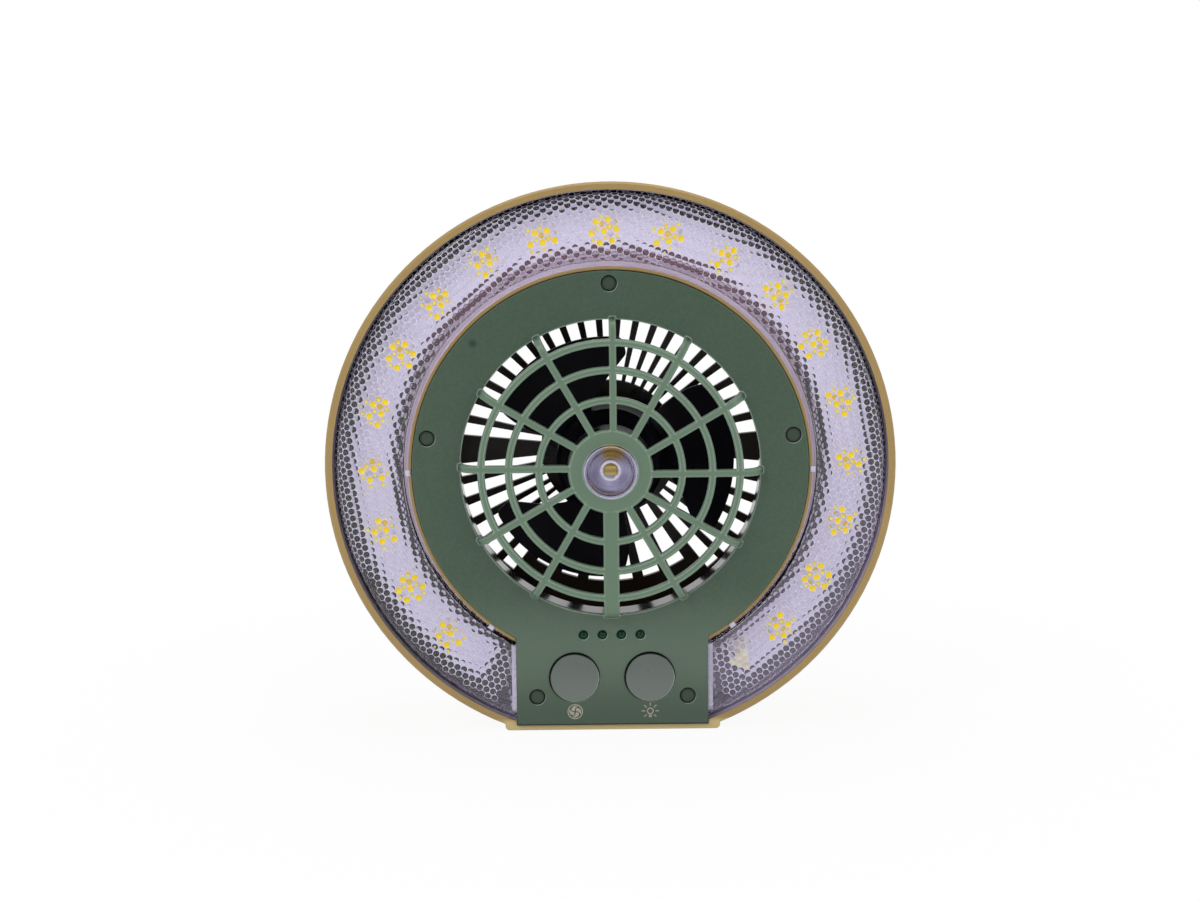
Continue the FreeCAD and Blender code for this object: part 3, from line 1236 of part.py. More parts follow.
def make_motor_base():
    """Plate with three ears and the post that holds the bearings and the stator."""
    arm = block(-MOTOR_EAR_RADIUS, MOTOR_EAR_RADIUS, MOTOR_BASE_FRONT, MOTOR_BASE_BACK,
                MOTOR_BASE_RADIUS - MOTOR_EAR_RADIUS, MOTOR_SCREW_ORBIT)
    ears = around(arm, MOTOR_SCREW_ANGLES)
    holes = []
    for x, z in motor_screw_places():
        ears.append(rod(MOTOR_EAR_RADIUS, MOTOR_BASE_FRONT, MOTOR_BASE_BACK, x, z))
        holes.append(rod(
            SMALL_PILOT_RADIUS, MOTOR_BASE_FRONT - CUT_PAST, MOTOR_BASE_BACK + CUT_PAST, x, z,
        ))
    plate = rod(MOTOR_BASE_RADIUS, MOTOR_BASE_FRONT, MOTOR_BASE_BACK)
    post_back = MOTOR_BASE_FRONT + OVERLAP
    post = tube(BEARING_TUBE_OUTER, BEARING_TUBE_INNER, FRONT_BEARING_FRONT, post_back)
    stand = tube(BEARING_TUBE_OUTER + COIL_WALL, BEARING_TUBE_INNER, MOTOR_BOARD_BACK, post_back)
    return joined([plate, post, stand] + ears).cut(joined(holes))


def make_bearing(front):
    return tube(BEARING_RADIUS, SHAFT_RADIUS + RUNNING_GAP / 2, front, front + BEARING_LENGTH)


def make_motor_shaft():
    shaft = rod(SHAFT_RADIUS, YOKE_FRONT, CLIP_BACK + 2 * FIT_GAP)
    return shaft.cut(tube(SHAFT_RADIUS + CUT_PAST, CLIP_SEAT_RADIUS, CLIP_FRONT, CLIP_BACK))


def make_shaft_clip():
    ring = tube(
        SHAFT_RADIUS + CLIP_WALL, CLIP_SEAT_RADIUS + RUNNING_GAP / 2,
        CLIP_FRONT + RUNNING_GAP, CLIP_BACK - RUNNING_GAP,
    )
    mouth_half = SHAFT_RADIUS * CLIP_MOUTH_SHARE
    return ring.cut(block(-mouth_half, mouth_half, 0, FAR, 0, FAR))


def make_motor_board():
    return tube(MOTOR_BOARD_RADIUS, BEARING_TUBE_OUTER + SEAT_GAP, MOTOR_BOARD_FRONT, MOTOR_BOARD_BACK)


def make_motor_screws():
    head_front = MOTOR_BASE_FRONT - SMALL_HEAD_HEIGHT
    length = MOTOR_BASE_THICKNESS + GRILLE_PLATE_THICKNESS - MOTOR_SCREW_TIP
    return Part.makeCompound([
        make_screw(x, z, head_front, SMALL_HEAD_RADIUS, SMALL_HEAD_HEIGHT, SMALL_SCREW_RADIUS, length)
        for x, z in motor_screw_places()
    ])


def make_battery_cells():
    half = CELL_LENGTH / 2
    can = cross_rod(CELL_RADIUS, -half, half - CELL_TERMINAL_HEIGHT, CELL_DEPTH, CELL_ORBIT)
    terminal = cross_rod(CELL_TERMINAL_RADIUS, -half, half, CELL_DEPTH, CELL_ORBIT)
    return Part.makeCompound(around(can.fuse(terminal).removeSplitter(), CELL_ANGLES))


def make_port_board():
    half = PORT_BOARD_HALF_WIDTH
    return block(-half, half, PORT_BOARD_BACK - PORT_BOARD_LENGTH, PORT_BOARD_BACK,
                 PORT_BOARD_TOP - BOARD_THICKNESS, PORT_BOARD_TOP)


def rounded_bar(width, height, front, back, drop):
    """Bar along the depth with an oval end, as a charging plug has."""
    bar = block(-width / 2, width / 2, front, back, -drop - height / 2, -drop + height / 2)
    return rounded_on(bar, height * 0.45, lambda box: box.YLength > (back - front) / 2)


def make_usb_socket():
    """Oval steel shell with its tongue."""
    front = PORT_BACK - PORT_LENGTH
    shell = rounded_bar(PORT_WIDTH, PORT_HEIGHT, front, PORT_BACK, PORT_DROP)
    room = rounded_bar(PORT_WIDTH - 2 * PORT_WALL, PORT_HEIGHT - 2 * PORT_WALL,
                       front + PORT_FLOOR, PORT_BACK + CUT_PAST, PORT_DROP)
    tongue_half = PORT_WIDTH / 2 - PORT_TONGUE_MARGIN
    tongue = block(
        -tongue_half, tongue_half, front + PORT_FLOOR / 2, PORT_BACK - PORT_TONGUE_SETBACK,
        -PORT_DROP - PORT_TONGUE_HEIGHT / 2, -PORT_DROP + PORT_TONGUE_HEIGHT / 2,
    )
    return shell.cut(room).fuse(tongue)


def make_bail():
    """Half hoop with a finger lip at its top and a blind pin hole in each rounded end."""
    outer = BAIL_OUTER
    inner = BAIL_INNER
    edge = BAIL_EDGE
    hoop = turned([
        (inner + edge, BAIL_FRONT), (outer - edge, BAIL_FRONT),
        (outer, BAIL_FRONT + edge), (outer, BAIL_BACK - edge),
        (outer - edge, BAIL_BACK), (inner + edge, BAIL_BACK),
        (inner, BAIL_BACK - edge), (inner, BAIL_FRONT + edge),
    ])
    hoop = hoop.common(block(-FAR, FAR, -FAR, FAR, 0, FAR))
    lip = block(-BAIL_LIP_WIDTH / 2, BAIL_LIP_WIDTH / 2, BAIL_BACK - BAIL_LIP_THICKNESS, BAIL_BACK,
                BAIL_RADIUS, outer + BAIL_LIP_LENGTH)
    lip = rounded_on(
        lip, BAIL_LIP_LENGTH * 0.8,
        lambda box: box.YLength > BAIL_LIP_THICKNESS / 2 and box.ZMin > outer,
    )
    ends = []
    holes = []
    hole_floor = outer - BAIL_PIN_ENGAGEMENT - MOVE_GAP
    hole_radius = BAIL_PIN_RADIUS + 2 * RUNNING_GAP
    for side in (-1, 1):
        ends.append(cross_rod(BAIL_THICKNESS / 2, *sorted((side * inner, side * outer)), BAIL_PIVOT_DEPTH))
        mouth = side * (outer + CUT_PAST)
        holes.append(cross_rod(hole_radius, *sorted((side * hole_floor, mouth)), BAIL_PIVOT_DEPTH))
    return joined([hoop, lip] + ends).cut(joined(holes))


def make_bail_pins():
    inner = BAIL_OUTER - BAIL_PIN_ENGAGEMENT
    outer = EAR_X + EAR_THICKNESS + SEAT_GAP
    shank = cross_rod(BAIL_PIN_RADIUS, inner, outer + OVERLAP, BAIL_PIVOT_DEPTH)
    head = cross_rod(BAIL_PIN_HEAD_RADIUS, outer, outer + BAIL_PIN_HEAD_HEIGHT, BAIL_PIVOT_DEPTH)
    pin = shank.fuse(head)
    return Part.makeCompound([pin, pin.mirror(FAN_CENTRE, RIGHT_AXIS)])


PARTS = {
    "front_frame": make_front_frame,
    "rear_housing": make_rear_housing,
    "front_panel": make_front_panel,
    "panel_screws": make_panel_screws,
    "screw_plugs": make_screw_plugs,
    "duct_ring": make_duct_ring,
    "light_lens": make_light_lens,
    "led_board": make_led_board,
    "ring_leds": make_ring_leds,
    "led_connector": make_led_connector,
    "spot_lens": make_spot_lens,
    "spot_board": make_spot_board,
    "spot_led": make_spot_led,
    "spot_cap": make_spot_cap,
    "fan_button": lambda: make_button(-BUTTON_X),
    "light_button": lambda: make_button(BUTTON_X),
    "tact_switches": make_tact_switches,
    "control_board": make_control_board,
    "board_screws": make_board_screws,
    "indicator_leds": make_indicator_leds,
    "rear_grille": make_rear_grille,
    "case_screws": make_case_screws,
    "fan_rotor": make_fan_rotor,
    "rotor_yoke": make_rotor_yoke,
    "rotor_magnet": lambda: tube(MAGNET_OUTER, MAGNET_INNER, MAGNET_FRONT, MAGNET_BACK),
    "motor_shaft": make_motor_shaft,
    "shaft_clip": make_shaft_clip,
    "front_bearing": lambda: make_bearing(FRONT_BEARING_FRONT),
    "rear_bearing": lambda: make_bearing(REAR_BEARING_BACK - BEARING_LENGTH),
    "stator_core": make_stator_core,
    "stator_coils": make_stator_coils,
    "motor_board": make_motor_board,
    "motor_base": make_motor_base,
    "motor_screws": make_motor_screws,
    "battery_cells": make_battery_cells,
    "port_board": make_port_board,
    "usb_socket": make_usb_socket,
    "bail": make_bail,
    "bail_pins": make_bail_pins,
}


def main():
    os.makedirs("parts", exist_ok=True)
    depth_centre = (SPOT_FRONT + max(EAR_BACK, BAIL_BACK)) / 2
    place = FreeCAD.Vector(0, -depth_centre, AXIS_HEIGHT)
    for name, make in PARTS.items():
        shape = make()
        shape.translate(place)
        shape.exportStep("parts/" + name + ".step")
        print(name, "valid" if shape.isValid() else "NOT VALID", len(shape.Solids), "solids",
              round(shape.Volume / 1000, 3), "cm3")


main()
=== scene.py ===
# Looks of a portable camping fan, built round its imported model.
# Lengths are metres: X to the right, Y to the back, Z up. The lamp and the grille face -Y.
import json
from math import asin, atan2, cos, hypot, pi, radians, sin, sqrt

import bmesh
import bpy
from mathutils import Matrix, Vector


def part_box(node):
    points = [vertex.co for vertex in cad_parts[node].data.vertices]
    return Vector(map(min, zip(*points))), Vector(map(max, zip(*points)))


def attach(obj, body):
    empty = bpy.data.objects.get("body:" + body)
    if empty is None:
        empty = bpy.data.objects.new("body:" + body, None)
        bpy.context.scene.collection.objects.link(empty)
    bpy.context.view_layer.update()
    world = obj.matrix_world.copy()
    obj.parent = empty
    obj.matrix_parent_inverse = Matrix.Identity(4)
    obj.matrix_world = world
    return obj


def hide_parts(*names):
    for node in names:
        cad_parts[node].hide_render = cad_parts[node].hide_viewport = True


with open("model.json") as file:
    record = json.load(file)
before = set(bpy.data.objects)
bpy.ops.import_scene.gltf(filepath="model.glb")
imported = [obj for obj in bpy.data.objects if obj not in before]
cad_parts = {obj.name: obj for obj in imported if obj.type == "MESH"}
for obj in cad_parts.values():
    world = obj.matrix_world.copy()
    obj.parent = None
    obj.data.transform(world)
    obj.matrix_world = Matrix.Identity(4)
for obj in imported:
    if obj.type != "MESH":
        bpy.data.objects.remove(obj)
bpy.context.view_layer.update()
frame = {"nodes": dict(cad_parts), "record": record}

MM = 0.001
FULL_TURN = 2 * pi
SHARP_ANGLE = radians(28)

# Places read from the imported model, and sizes that repeat it
DUCT_LOW, DUCT_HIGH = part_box("duct_ring")
AXIS_HEIGHT = (DUCT_LOW.z + DUCT_HIGH.z) / 2
PANEL_GAP = 2.5 * MM
PANEL_FRONT = DUCT_LOW.y - PANEL_GAP
PANEL_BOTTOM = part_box("front_panel")[0].z
HUB_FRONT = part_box("front_panel")[0].y
HUB_RADIUS = 15.0 * MM
OPENING_RADIUS = 52.5 * MM
RING_FRONT = PANEL_FRONT + 1.0 * MM
TRAY_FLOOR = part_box("led_board")[1].y
SPOT_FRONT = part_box("spot_lens")[0].y
SPOT_CUP_RADIUS = 9.2 * MM

# Outline of the lamp's lens
LENS_LOW, LENS_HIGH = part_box("light_lens")
LENS_OUTER = (LENS_HIGH.x - LENS_LOW.x) / 2
LENS_INNER = LENS_OUTER - 26.0 * MM
LENS_FRONT = LENS_LOW.y
LENS_ROLL = 3.6 * MM
LENS_DROP = 2.8 * MM
LENS_SKIRT = 1.5 * MM
LENS_INNER_ROLL = 1.6 * MM
LENS_INNER_SKIRT = 1.6 * MM
LENS_WALL = 1.6 * MM
LENS_END = 34.1 * MM
LENS_ARC = (LENS_ROLL + LENS_DROP) / 2
LENS_START = LENS_INNER + LENS_INNER_ROLL * (1 - pi / 2) - LENS_INNER_SKIRT
LENS_STOP = LENS_OUTER - LENS_ROLL + LENS_ARC * pi / 2 + LENS_SKIRT

# End walls of the lens
WALL_GAP = 0.3 * MM
WALL_DROP = LENS_DROP - 0.4 * MM
WALL_STEPS = 6

# Steps of the lens's front sheet, round its edge and across it
LENS_STEPS = 360
INNER_ROLL_STEPS = 6
FLAT_STEPS = 8
OUTER_ROLL_STEPS = 10

# Round-hex cells on the back of the lens
INNER_STOP = LENS_START + 0.4 * MM
OUTER_STOP = LENS_STOP - 0.5 * MM
CELL_PITCH = 2.48 * MM
CELL_TURN = radians(40)
CELL_SIDES = 12
CELL_TURNS = [CELL_TURN + FULL_TURN * side / CELL_SIDES for side in range(CELL_SIDES)]
CELL_DIRECTIONS = [(cos(turn), sin(turn)) for turn in CELL_TURNS]
BORDER_REACHES = [CELL_PITCH / 2, CELL_PITCH / sqrt(3)] * (CELL_SIDES // 2)
DOME_RADIUS = 2.0 * MM
DOME_REACH = 1.14 * MM
DOME_RINGS = (0.35, 0.65, 0.88, 1.0)
SAME_POINT = 0.004 * MM

# What the cells show: clear plastic, frosted borders, and painted images of the lamps' yellow and of the
# connector, as refraction through the cells would show them
CLEAR, WEB, LAMP_IMAGE, FAINT_LAMP_IMAGE, CREAM = range(5)
LAMP_IMAGE_ORBIT = 83.7 * MM
LAMP_IMAGE_TURN = radians(-1.1)
LAMP_IMAGE_REACH = 5.3 * MM
FAINT_IMAGE_REACH = 5.6 * MM
CONNECTOR_PLACE = (45.9 * MM, -70.2 * MM)
CONNECTOR_REACH = 3.5 * MM
WEB_START = LENS_INNER + 4.4 * MM
WEB_TURN = radians(153.5)
WEB_DIM_TURN = radians(112)
WEB_DIM_RADIUS = LENS_OUTER - 3.6 * MM

# Lamps of the ring
LED_COUNT = 19
LED_PITCH = radians(15)
LED_WINDOW = 2.1 * MM

# Tracks on the lamp board
TRACK_RADIUS = 77 * MM
TRACK_HALF_PITCH = 2.3 * MM

# Clear plastic
PLASTIC_IOR = 1.49

# Camera, set from the photograph
CAMERA_TARGET = Vector((-3.6 * MM, -23.1 * MM, 101.1 * MM))
CAMERA_DISTANCE = 0.9
CAMERA_ELEVATION = radians(9.61)
CAMERA_AZIMUTH = radians(-0.21)
CAMERA_ROLL = radians(-0.58)
CAMERA_LENS = 77.3
CAMERA_SENSOR = 36.0

# Stage: half the floor's side, depths between which the room brightens in the backdrop's own
# coordinates, and the place, width, height and power of each light
FLOOR_REACH = 3.0
ROOM_FRONT = -0.5
ROOM_BACK = 0.3
LIGHTS = {
    "key_light": ((-0.75, -0.8, 0.85), 0.6, 0.6, 5.0),
    "fill_light": ((0.9, -0.7, 0.5), 0.5, 0.7, 3.0),
    "top_light": ((0.0, 0.1, 1.1), 0.9, 0.6, 4.2),
}


def colour(red, green, blue):
    """Linear colour from the 0 to 255 values that a screen shows."""
    values = []
    for value in (red, green, blue):
        share = value / 255
        values.append(share / 12.92 if share <= 0.04045 else ((share + 0.055) / 1.055) ** 2.4)
    return (*values, 1.0)


def polar(radius, angle, depth):
    """Point at a radius and a clockwise angle from the top, as seen from the front."""
    return Vector((radius * sin(angle), depth, AXIS_HEIGHT + radius * cos(angle)))


# Direction in which the painted shade of the lamp channel grows paler, as painted light
SHADE_TURN = radians(150)

# Places on the panel
BUTTON_PLACES = [sum(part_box(name), Vector()) / 2 for name in ("fan_button", "light_button")]
BUTTON_HOLE = 8.95 * MM
PLUG_ORBIT = 65 * MM
PLUG_TURNS = [radians(turn) for turn in (0, 80, 280)]
TAB_PLUG_HEIGHT = AXIS_HEIGHT - 82.1 * MM
TAB_PLUG_SHIFT = 26.7 * MM
PLUG_PLACES = [polar(PLUG_ORBIT, turn, 0) for turn in PLUG_TURNS]
PLUG_PLACES += [Vector((x, 0, TAB_PLUG_HEIGHT)) for x in (-TAB_PLUG_SHIFT, TAB_PLUG_SHIFT)]
PLUG_HOLE = 2.75 * MM
INDICATOR_PITCH = 6.7 * MM
INDICATOR_HEIGHT = AXIS_HEIGHT - 59.75 * MM
INDICATOR_PLACES = [Vector((step * INDICATOR_PITCH, 0, INDICATOR_HEIGHT))
                    for step in (-1.5, -0.5, 0.5, 1.5)]
INDICATOR_HOLE = 1.6 * MM
MARK_PLACE = polar(PLUG_ORBIT, radians(-46.8), 0)


# Material building

class Nodes:
    """Node tree, with short calls for the nodes it is made of."""

    def __init__(self, tree, place):
        self.tree = tree
        self.place = self.add("ShaderNodeTexCoord").outputs[place]

    def add(self, kind, inputs=(), **settings):
        """Node of a kind with its settings, and its inputs as values or links."""
        made = self.tree.nodes.new(kind)
        for name, value in settings.items():
            setattr(made, name, value)
        for name, value in dict(inputs).items():
            self.feed(made.inputs[name], value)
        return made

    def feed(self, socket, value):
        if isinstance(value, bpy.types.NodeSocket):
            self.tree.links.new(value, socket)
        else:
            socket.default_value = value

    def noise(self, size, detail=2.0, rough=0.5, place=None):
        """Noise from 0 to 1 with blobs of about a size."""
        made = self.add("ShaderNodeTexNoise", {
            "Vector": place or self.place, "Scale": 1 / size, "Detail": detail, "Roughness": rough,
        })
        return made.outputs["Fac"]

    def spread(self, value, low, high, to_low=0.0, to_high=1.0, kind="LINEAR"):
        """The value stretched from one range to another."""
        made = self.add("ShaderNodeMapRange", {
            "Value": value, "From Min": low, "From Max": high, "To Min": to_low, "To Max": to_high,
        }, interpolation_type=kind)
        return made.outputs["Result"]

    def smooth(self, value, low, high, to_low=0.0, to_high=1.0):
        """The value eased from one range to another."""
        return self.spread(value, low, high, to_low, to_high, "SMOOTHSTEP")

    def maths(self, operation, first, second=0.0):
        made = self.add("ShaderNodeMath", operation=operation)
        for socket, value in zip(made.inputs, (first, second)):
            self.feed(socket, value)
        return made.outputs["Value"]

    def times(self, first, second):
        return self.maths("MULTIPLY", first, second)

    def plus(self, first, second):
        return self.maths("ADD", first, second)

    def minus(self, first, second):
        return self.maths("SUBTRACT", first, second)

    def length(self, first, second):
        """Length of a line with two legs at right angles."""
        return self.maths("SQRT", self.plus(self.times(first, first), self.times(second, second)))

    def mix(self, share, first, second):
        """Colour between two."""
        made = self.add("ShaderNodeMix", data_type="RGBA")
        self.feed(made.inputs[0], share)
        self.feed(made.inputs[6], first)
        self.feed(made.inputs[7], second)
        return made.outputs[2]

    def blend(self, share, first, second):
        """Number between two."""
        made = self.add("ShaderNodeMix")
        self.feed(made.inputs[0], share)
        self.feed(made.inputs[2], first)
        self.feed(made.inputs[3], second)
        return made.outputs[0]

    def parts(self):
        """X, Y and Z of the place."""
        made = self.add("ShaderNodeSeparateXYZ", {"Vector": self.place})
        return made.outputs["X"], made.outputs["Y"], made.outputs["Z"]

    def height(self):
        """Height over the fan axis."""
        return self.minus(self.parts()[2], AXIS_HEIGHT)

    def radius(self):
        """Distance from the fan axis."""
        return self.length(self.parts()[0], self.height())

    def bump(self, height, depth, normal=None):
        """Normal with a height of 0 to 1 times a depth."""
        inputs = {"Height": height, "Distance": depth, "Strength": 1.0}
        if normal is not None:
            inputs["Normal"] = normal
        return self.add("ShaderNodeBump", inputs).outputs["Normal"]

    def soft_edges(self, radius):
        """Normal rounded off near edges, and a mask of those edges."""
        rounded = self.add("ShaderNodeBevel", {"Radius": radius}, samples=6).outputs["Normal"]
        plain = self.add("ShaderNodeNewGeometry").outputs["Normal"]
        same = self.add("ShaderNodeVectorMath", operation="DOT_PRODUCT")
        self.feed(same.inputs[0], rounded)
        self.feed(same.inputs[1], plain)
        return rounded, self.spread(same.outputs["Value"], 1.0, 0.86)

    def speckle(self, size, detail, first, second, low=0.3):
        """Noise, and a colour between two that follows it."""
        grain = self.noise(size, detail)
        return grain, self.mix(self.spread(grain, low, 1 - low), first, second)


class Recipe(Nodes):
    """Node tree of one material."""

    def __init__(self, name):
        self.material = bpy.data.materials.new(name)
        self.material.use_nodes = True
        super().__init__(self.material.node_tree, "Object")
        self.shader = self.tree.nodes["Principled BSDF"]

    def finish(self, **inputs):
        """Sets the shader's inputs, named with underscores for spaces."""
        for name, value in inputs.items():
            self.feed(self.shader.inputs[name.replace("_", " ")], value)
        return self.material


def moulded_plastic(name, base, light, dark, grain=0.35 * MM, depth=0.012 * MM, rough=0.42,
                    edge=0.35 * MM, wear_and_highlight=0.35, shine=0.5, shade=None):
    """Moulded plastic: fine spark-eroded grain, slow tone drift, and paler edges that are partly
    rubbed wear and partly painted highlight. A shade function may change the tone in places,
    with painted light and shade among it."""
    recipe = Recipe(name)
    drift = recipe.spread(recipe.noise(28 * MM, 3.0), 0.3, 0.7)
    specks = recipe.spread(recipe.noise(0.9 * MM, 2.0), 0.35, 0.65)
    tone = recipe.mix(recipe.times(drift, 0.5), base, dark)
    tone = recipe.mix(recipe.times(specks, 0.05), tone, light)
    rounded, edges = recipe.soft_edges(edge)
    # Paler edges: partly rubbed wear, partly a painted highlight along rounded edges
    rubbed_and_highlight = recipe.times(edges, recipe.spread(recipe.noise(3 * MM), 0.3, 0.7, wear_and_highlight / 3, wear_and_highlight))
    tone = recipe.mix(rubbed_and_highlight, tone, light)
    if shade:
        tone = shade(recipe, tone)
    grain_height = recipe.noise(grain, 3.0, 0.6)
    gloss = recipe.spread(recipe.noise(7 * MM, 4.0), 0.25, 0.75, rough - 0.04, rough + 0.05)
    return recipe.finish(
        Base_Color=tone, Roughness=gloss, Specular_IOR_Level=shine,
        Normal=recipe.bump(grain_height, depth, rounded),
    )


def paint_channel_shade(recipe, tone):
    """Painted shade and light inside the lamp channel: a dark floor and outer wall as painted shade,
    paler towards the lower right as painted light, a pale inner wall as painted light, and a paler foot."""
    x, depth, z = recipe.parts()
    radius = recipe.radius()
    height = recipe.height()
    # Painted shade: dark floor and walls deep inside the channel
    deep = recipe.times(
        recipe.smooth(depth, LENS_FRONT + 0.2 * MM, LENS_FRONT + 0.7 * MM),
        recipe.smooth(depth, TRAY_FLOOR + 0.6 * MM, TRAY_FLOOR + 0.4 * MM),
    )
    across = recipe.times(
        recipe.smooth(radius, LENS_INNER - 0.5 * MM, LENS_INNER - 0.4 * MM),
        recipe.smooth(radius, LENS_OUTER + 0.6 * MM, LENS_OUTER + 0.5 * MM),
    )
    # Painted light: paler towards the lower right, as if lit from the upper left
    lower_right = recipe.plus(recipe.times(x, sin(SHADE_TURN)), recipe.times(height, cos(SHADE_TURN)))
    dark = recipe.mix(recipe.smooth(lower_right, 25 * MM, 90 * MM), colour(8, 5, 13), colour(112, 103, 126))
    magenta = recipe.times(
        recipe.smooth(radius, 81 * MM, 79 * MM),
        recipe.smooth(height, 20 * MM, 60 * MM, 0.0, 0.6),
    )
    dark = recipe.mix(magenta, dark, colour(120, 52, 88))
    # Painted light: pale inner wall
    pale_wall = recipe.smooth(radius, LENS_INNER + 3.0 * MM, LENS_INNER + 2.2 * MM)
    inside = recipe.mix(pale_wall, dark, colour(196, 182, 200))
    # Painted light on the outer wall at the rim, paler towards the lower right
    rim_wall = recipe.smooth(radius, LENS_OUTER - 0.6 * MM, LENS_OUTER - 0.1 * MM, 0.0, 0.75)
    rim_tone = recipe.mix(recipe.smooth(lower_right, 25 * MM, 80 * MM), colour(118, 110, 126),
                          colour(176, 166, 184))
    inside = recipe.mix(rim_wall, inside, rim_tone)
    foot = recipe.smooth(z, 4.5 * MM, 2.5 * MM, 0.0, 0.8)
    tone = recipe.mix(foot, tone, colour(222, 202, 146))
    return recipe.mix(recipe.times(deep, across), tone, inside)


def off_point(recipe, point):
    """Distance from a point in the front view, and how far that is to the upper left of it."""
    x, _, z = recipe.parts()
    across = recipe.minus(x, point.x)
    up = recipe.minus(z, point.z)
    leaning = recipe.minus(recipe.times(up, 0.8), recipe.times(across, 0.6))
    return recipe.length(across, up), leaning


def off_points(recipe, points):
    """The same for the nearest of some points."""
    nearest, leaning = off_point(recipe, points[0])
    for point in points[1:]:
        away, side = off_point(recipe, point)
        closer = recipe.maths("LESS_THAN", away, nearest)
        leaning = recipe.plus(
            recipe.times(closer, side),
            recipe.times(recipe.minus(1.0, closer), leaning),
        )
        nearest = recipe.maths("MINIMUM", away, nearest)
    return nearest, leaning


def paint_hole_shade_and_highlight(recipe, tone, points, radius, darkness=1.0):
    """Painted shade as a dark line above and to the left of each hole, and a painted highlight as a pale
    one below and to the right.
    """
    away, leaning = off_points(recipe, points)
    line = recipe.times(
        recipe.smooth(away, radius - 0.12 * MM, radius + 0.12 * MM),
        recipe.smooth(away, radius + 0.42 * MM, radius + 0.18 * MM),
    )
    upper_left = recipe.smooth(leaning, -radius * 0.4, radius * 0.5, 0.0, darkness)
    lower_right = recipe.smooth(leaning, -radius * 0.3, -radius * 0.9, 0.0, 0.75)
    # Painted shade at the upper left, painted highlight at the lower right
    tone = recipe.mix(recipe.times(line, upper_left), tone, colour(16, 24, 17))
    return recipe.mix(recipe.times(line, lower_right), tone, colour(160, 182, 162))


def paint_gap_shade(recipe, tone, front):
    """Painted shade: dark tone for what lies in a narrow gap behind a front face."""
    _, depth, _ = recipe.parts()
    return recipe.mix(recipe.smooth(depth, front + 0.1 * MM, front + 0.5 * MM), tone, colour(8, 12, 9))


def shade_panel(recipe, tone):
    """Paler grille with painted highlights along its edges, paler towards the tab as painted light with a
    darker top and foot as painted shade, painted shade and highlights round the holes, painted shade on
    the walls inside the holes, beside the hub and under the foot, and a small blurred mark."""
    _, depth, z = recipe.parts()
    radius = recipe.radius()
    # Painted light and shade: paler towards the tab, darker at the top and at the foot
    tone = recipe.mix(recipe.smooth(z, 56 * MM, 27 * MM, 0.0, 0.55), tone, colour(106, 126, 108))
    tone = recipe.mix(recipe.smooth(z, 26 * MM, 4 * MM, 0.0, 0.9), tone, colour(66, 85, 69))
    grille = recipe.smooth(radius, OPENING_RADIUS + 0.6 * MM, OPENING_RADIUS - 0.6 * MM, 0.0, 0.72)
    tone = recipe.mix(grille, tone, colour(114, 140, 117))
    # Painted highlights along the grille's edges
    _, edges = recipe.soft_edges(0.9 * MM)
    highlight_share = recipe.smooth(radius, OPENING_RADIUS + 2.6 * MM, OPENING_RADIUS + 1.4 * MM, 0.0, 0.85)
    tone = recipe.mix(recipe.times(edges, highlight_share), tone, colour(184, 206, 188))
    off_mark, _ = off_point(recipe, MARK_PLACE)
    tone = recipe.mix(recipe.smooth(off_mark, 2.1 * MM, 0.4 * MM, 0.0, 0.75), tone, colour(26, 34, 30))
    tone = paint_hole_shade_and_highlight(recipe, tone, BUTTON_PLACES, BUTTON_HOLE)
    tone = paint_hole_shade_and_highlight(recipe, tone, PLUG_PLACES, PLUG_HOLE, 0.25)
    tone = paint_hole_shade_and_highlight(recipe, tone, INDICATOR_PLACES, INDICATOR_HOLE)
    # Painted shade on the walls inside the holes, behind the panel's front
    inside = recipe.times(
        recipe.smooth(depth, PANEL_FRONT + 0.1 * MM, PANEL_FRONT + 0.5 * MM),
        recipe.smooth(radius, OPENING_RADIUS + 0.3 * MM, OPENING_RADIUS + 0.5 * MM),
    )
    tone = recipe.mix(inside, tone, colour(8, 12, 9))
    # Painted shade beside the hub
    hub_side_shade = recipe.times(
        recipe.smooth(depth, HUB_FRONT + 0.5 * MM, HUB_FRONT + 0.8 * MM),
        recipe.smooth(radius, HUB_RADIUS + 0.8 * MM, HUB_RADIUS + 0.6 * MM),
    )
    tone = recipe.mix(hub_side_shade, tone, colour(10, 13, 11))
    # Painted shade in the gap under the panel's foot
    foot_gap_shade = recipe.smooth(z, PANEL_BOTTOM + 0.6 * MM, PANEL_BOTTOM + 0.3 * MM)
    return recipe.mix(foot_gap_shade, tone, colour(14, 18, 13))


def make_tan_plastic(name):
    return moulded_plastic(name, colour(175, 146, 90), colour(200, 173, 116),
                           colour(160, 132, 80), rough=0.4, shade=paint_channel_shade)


def make_green_plastic(name):
    return moulded_plastic(name, colour(65, 88, 69), colour(138, 162, 142),
                           colour(59, 81, 63), depth=0.006 * MM, rough=0.36, edge=0.5 * MM,
                           wear_and_highlight=0.8, shade=shade_panel)


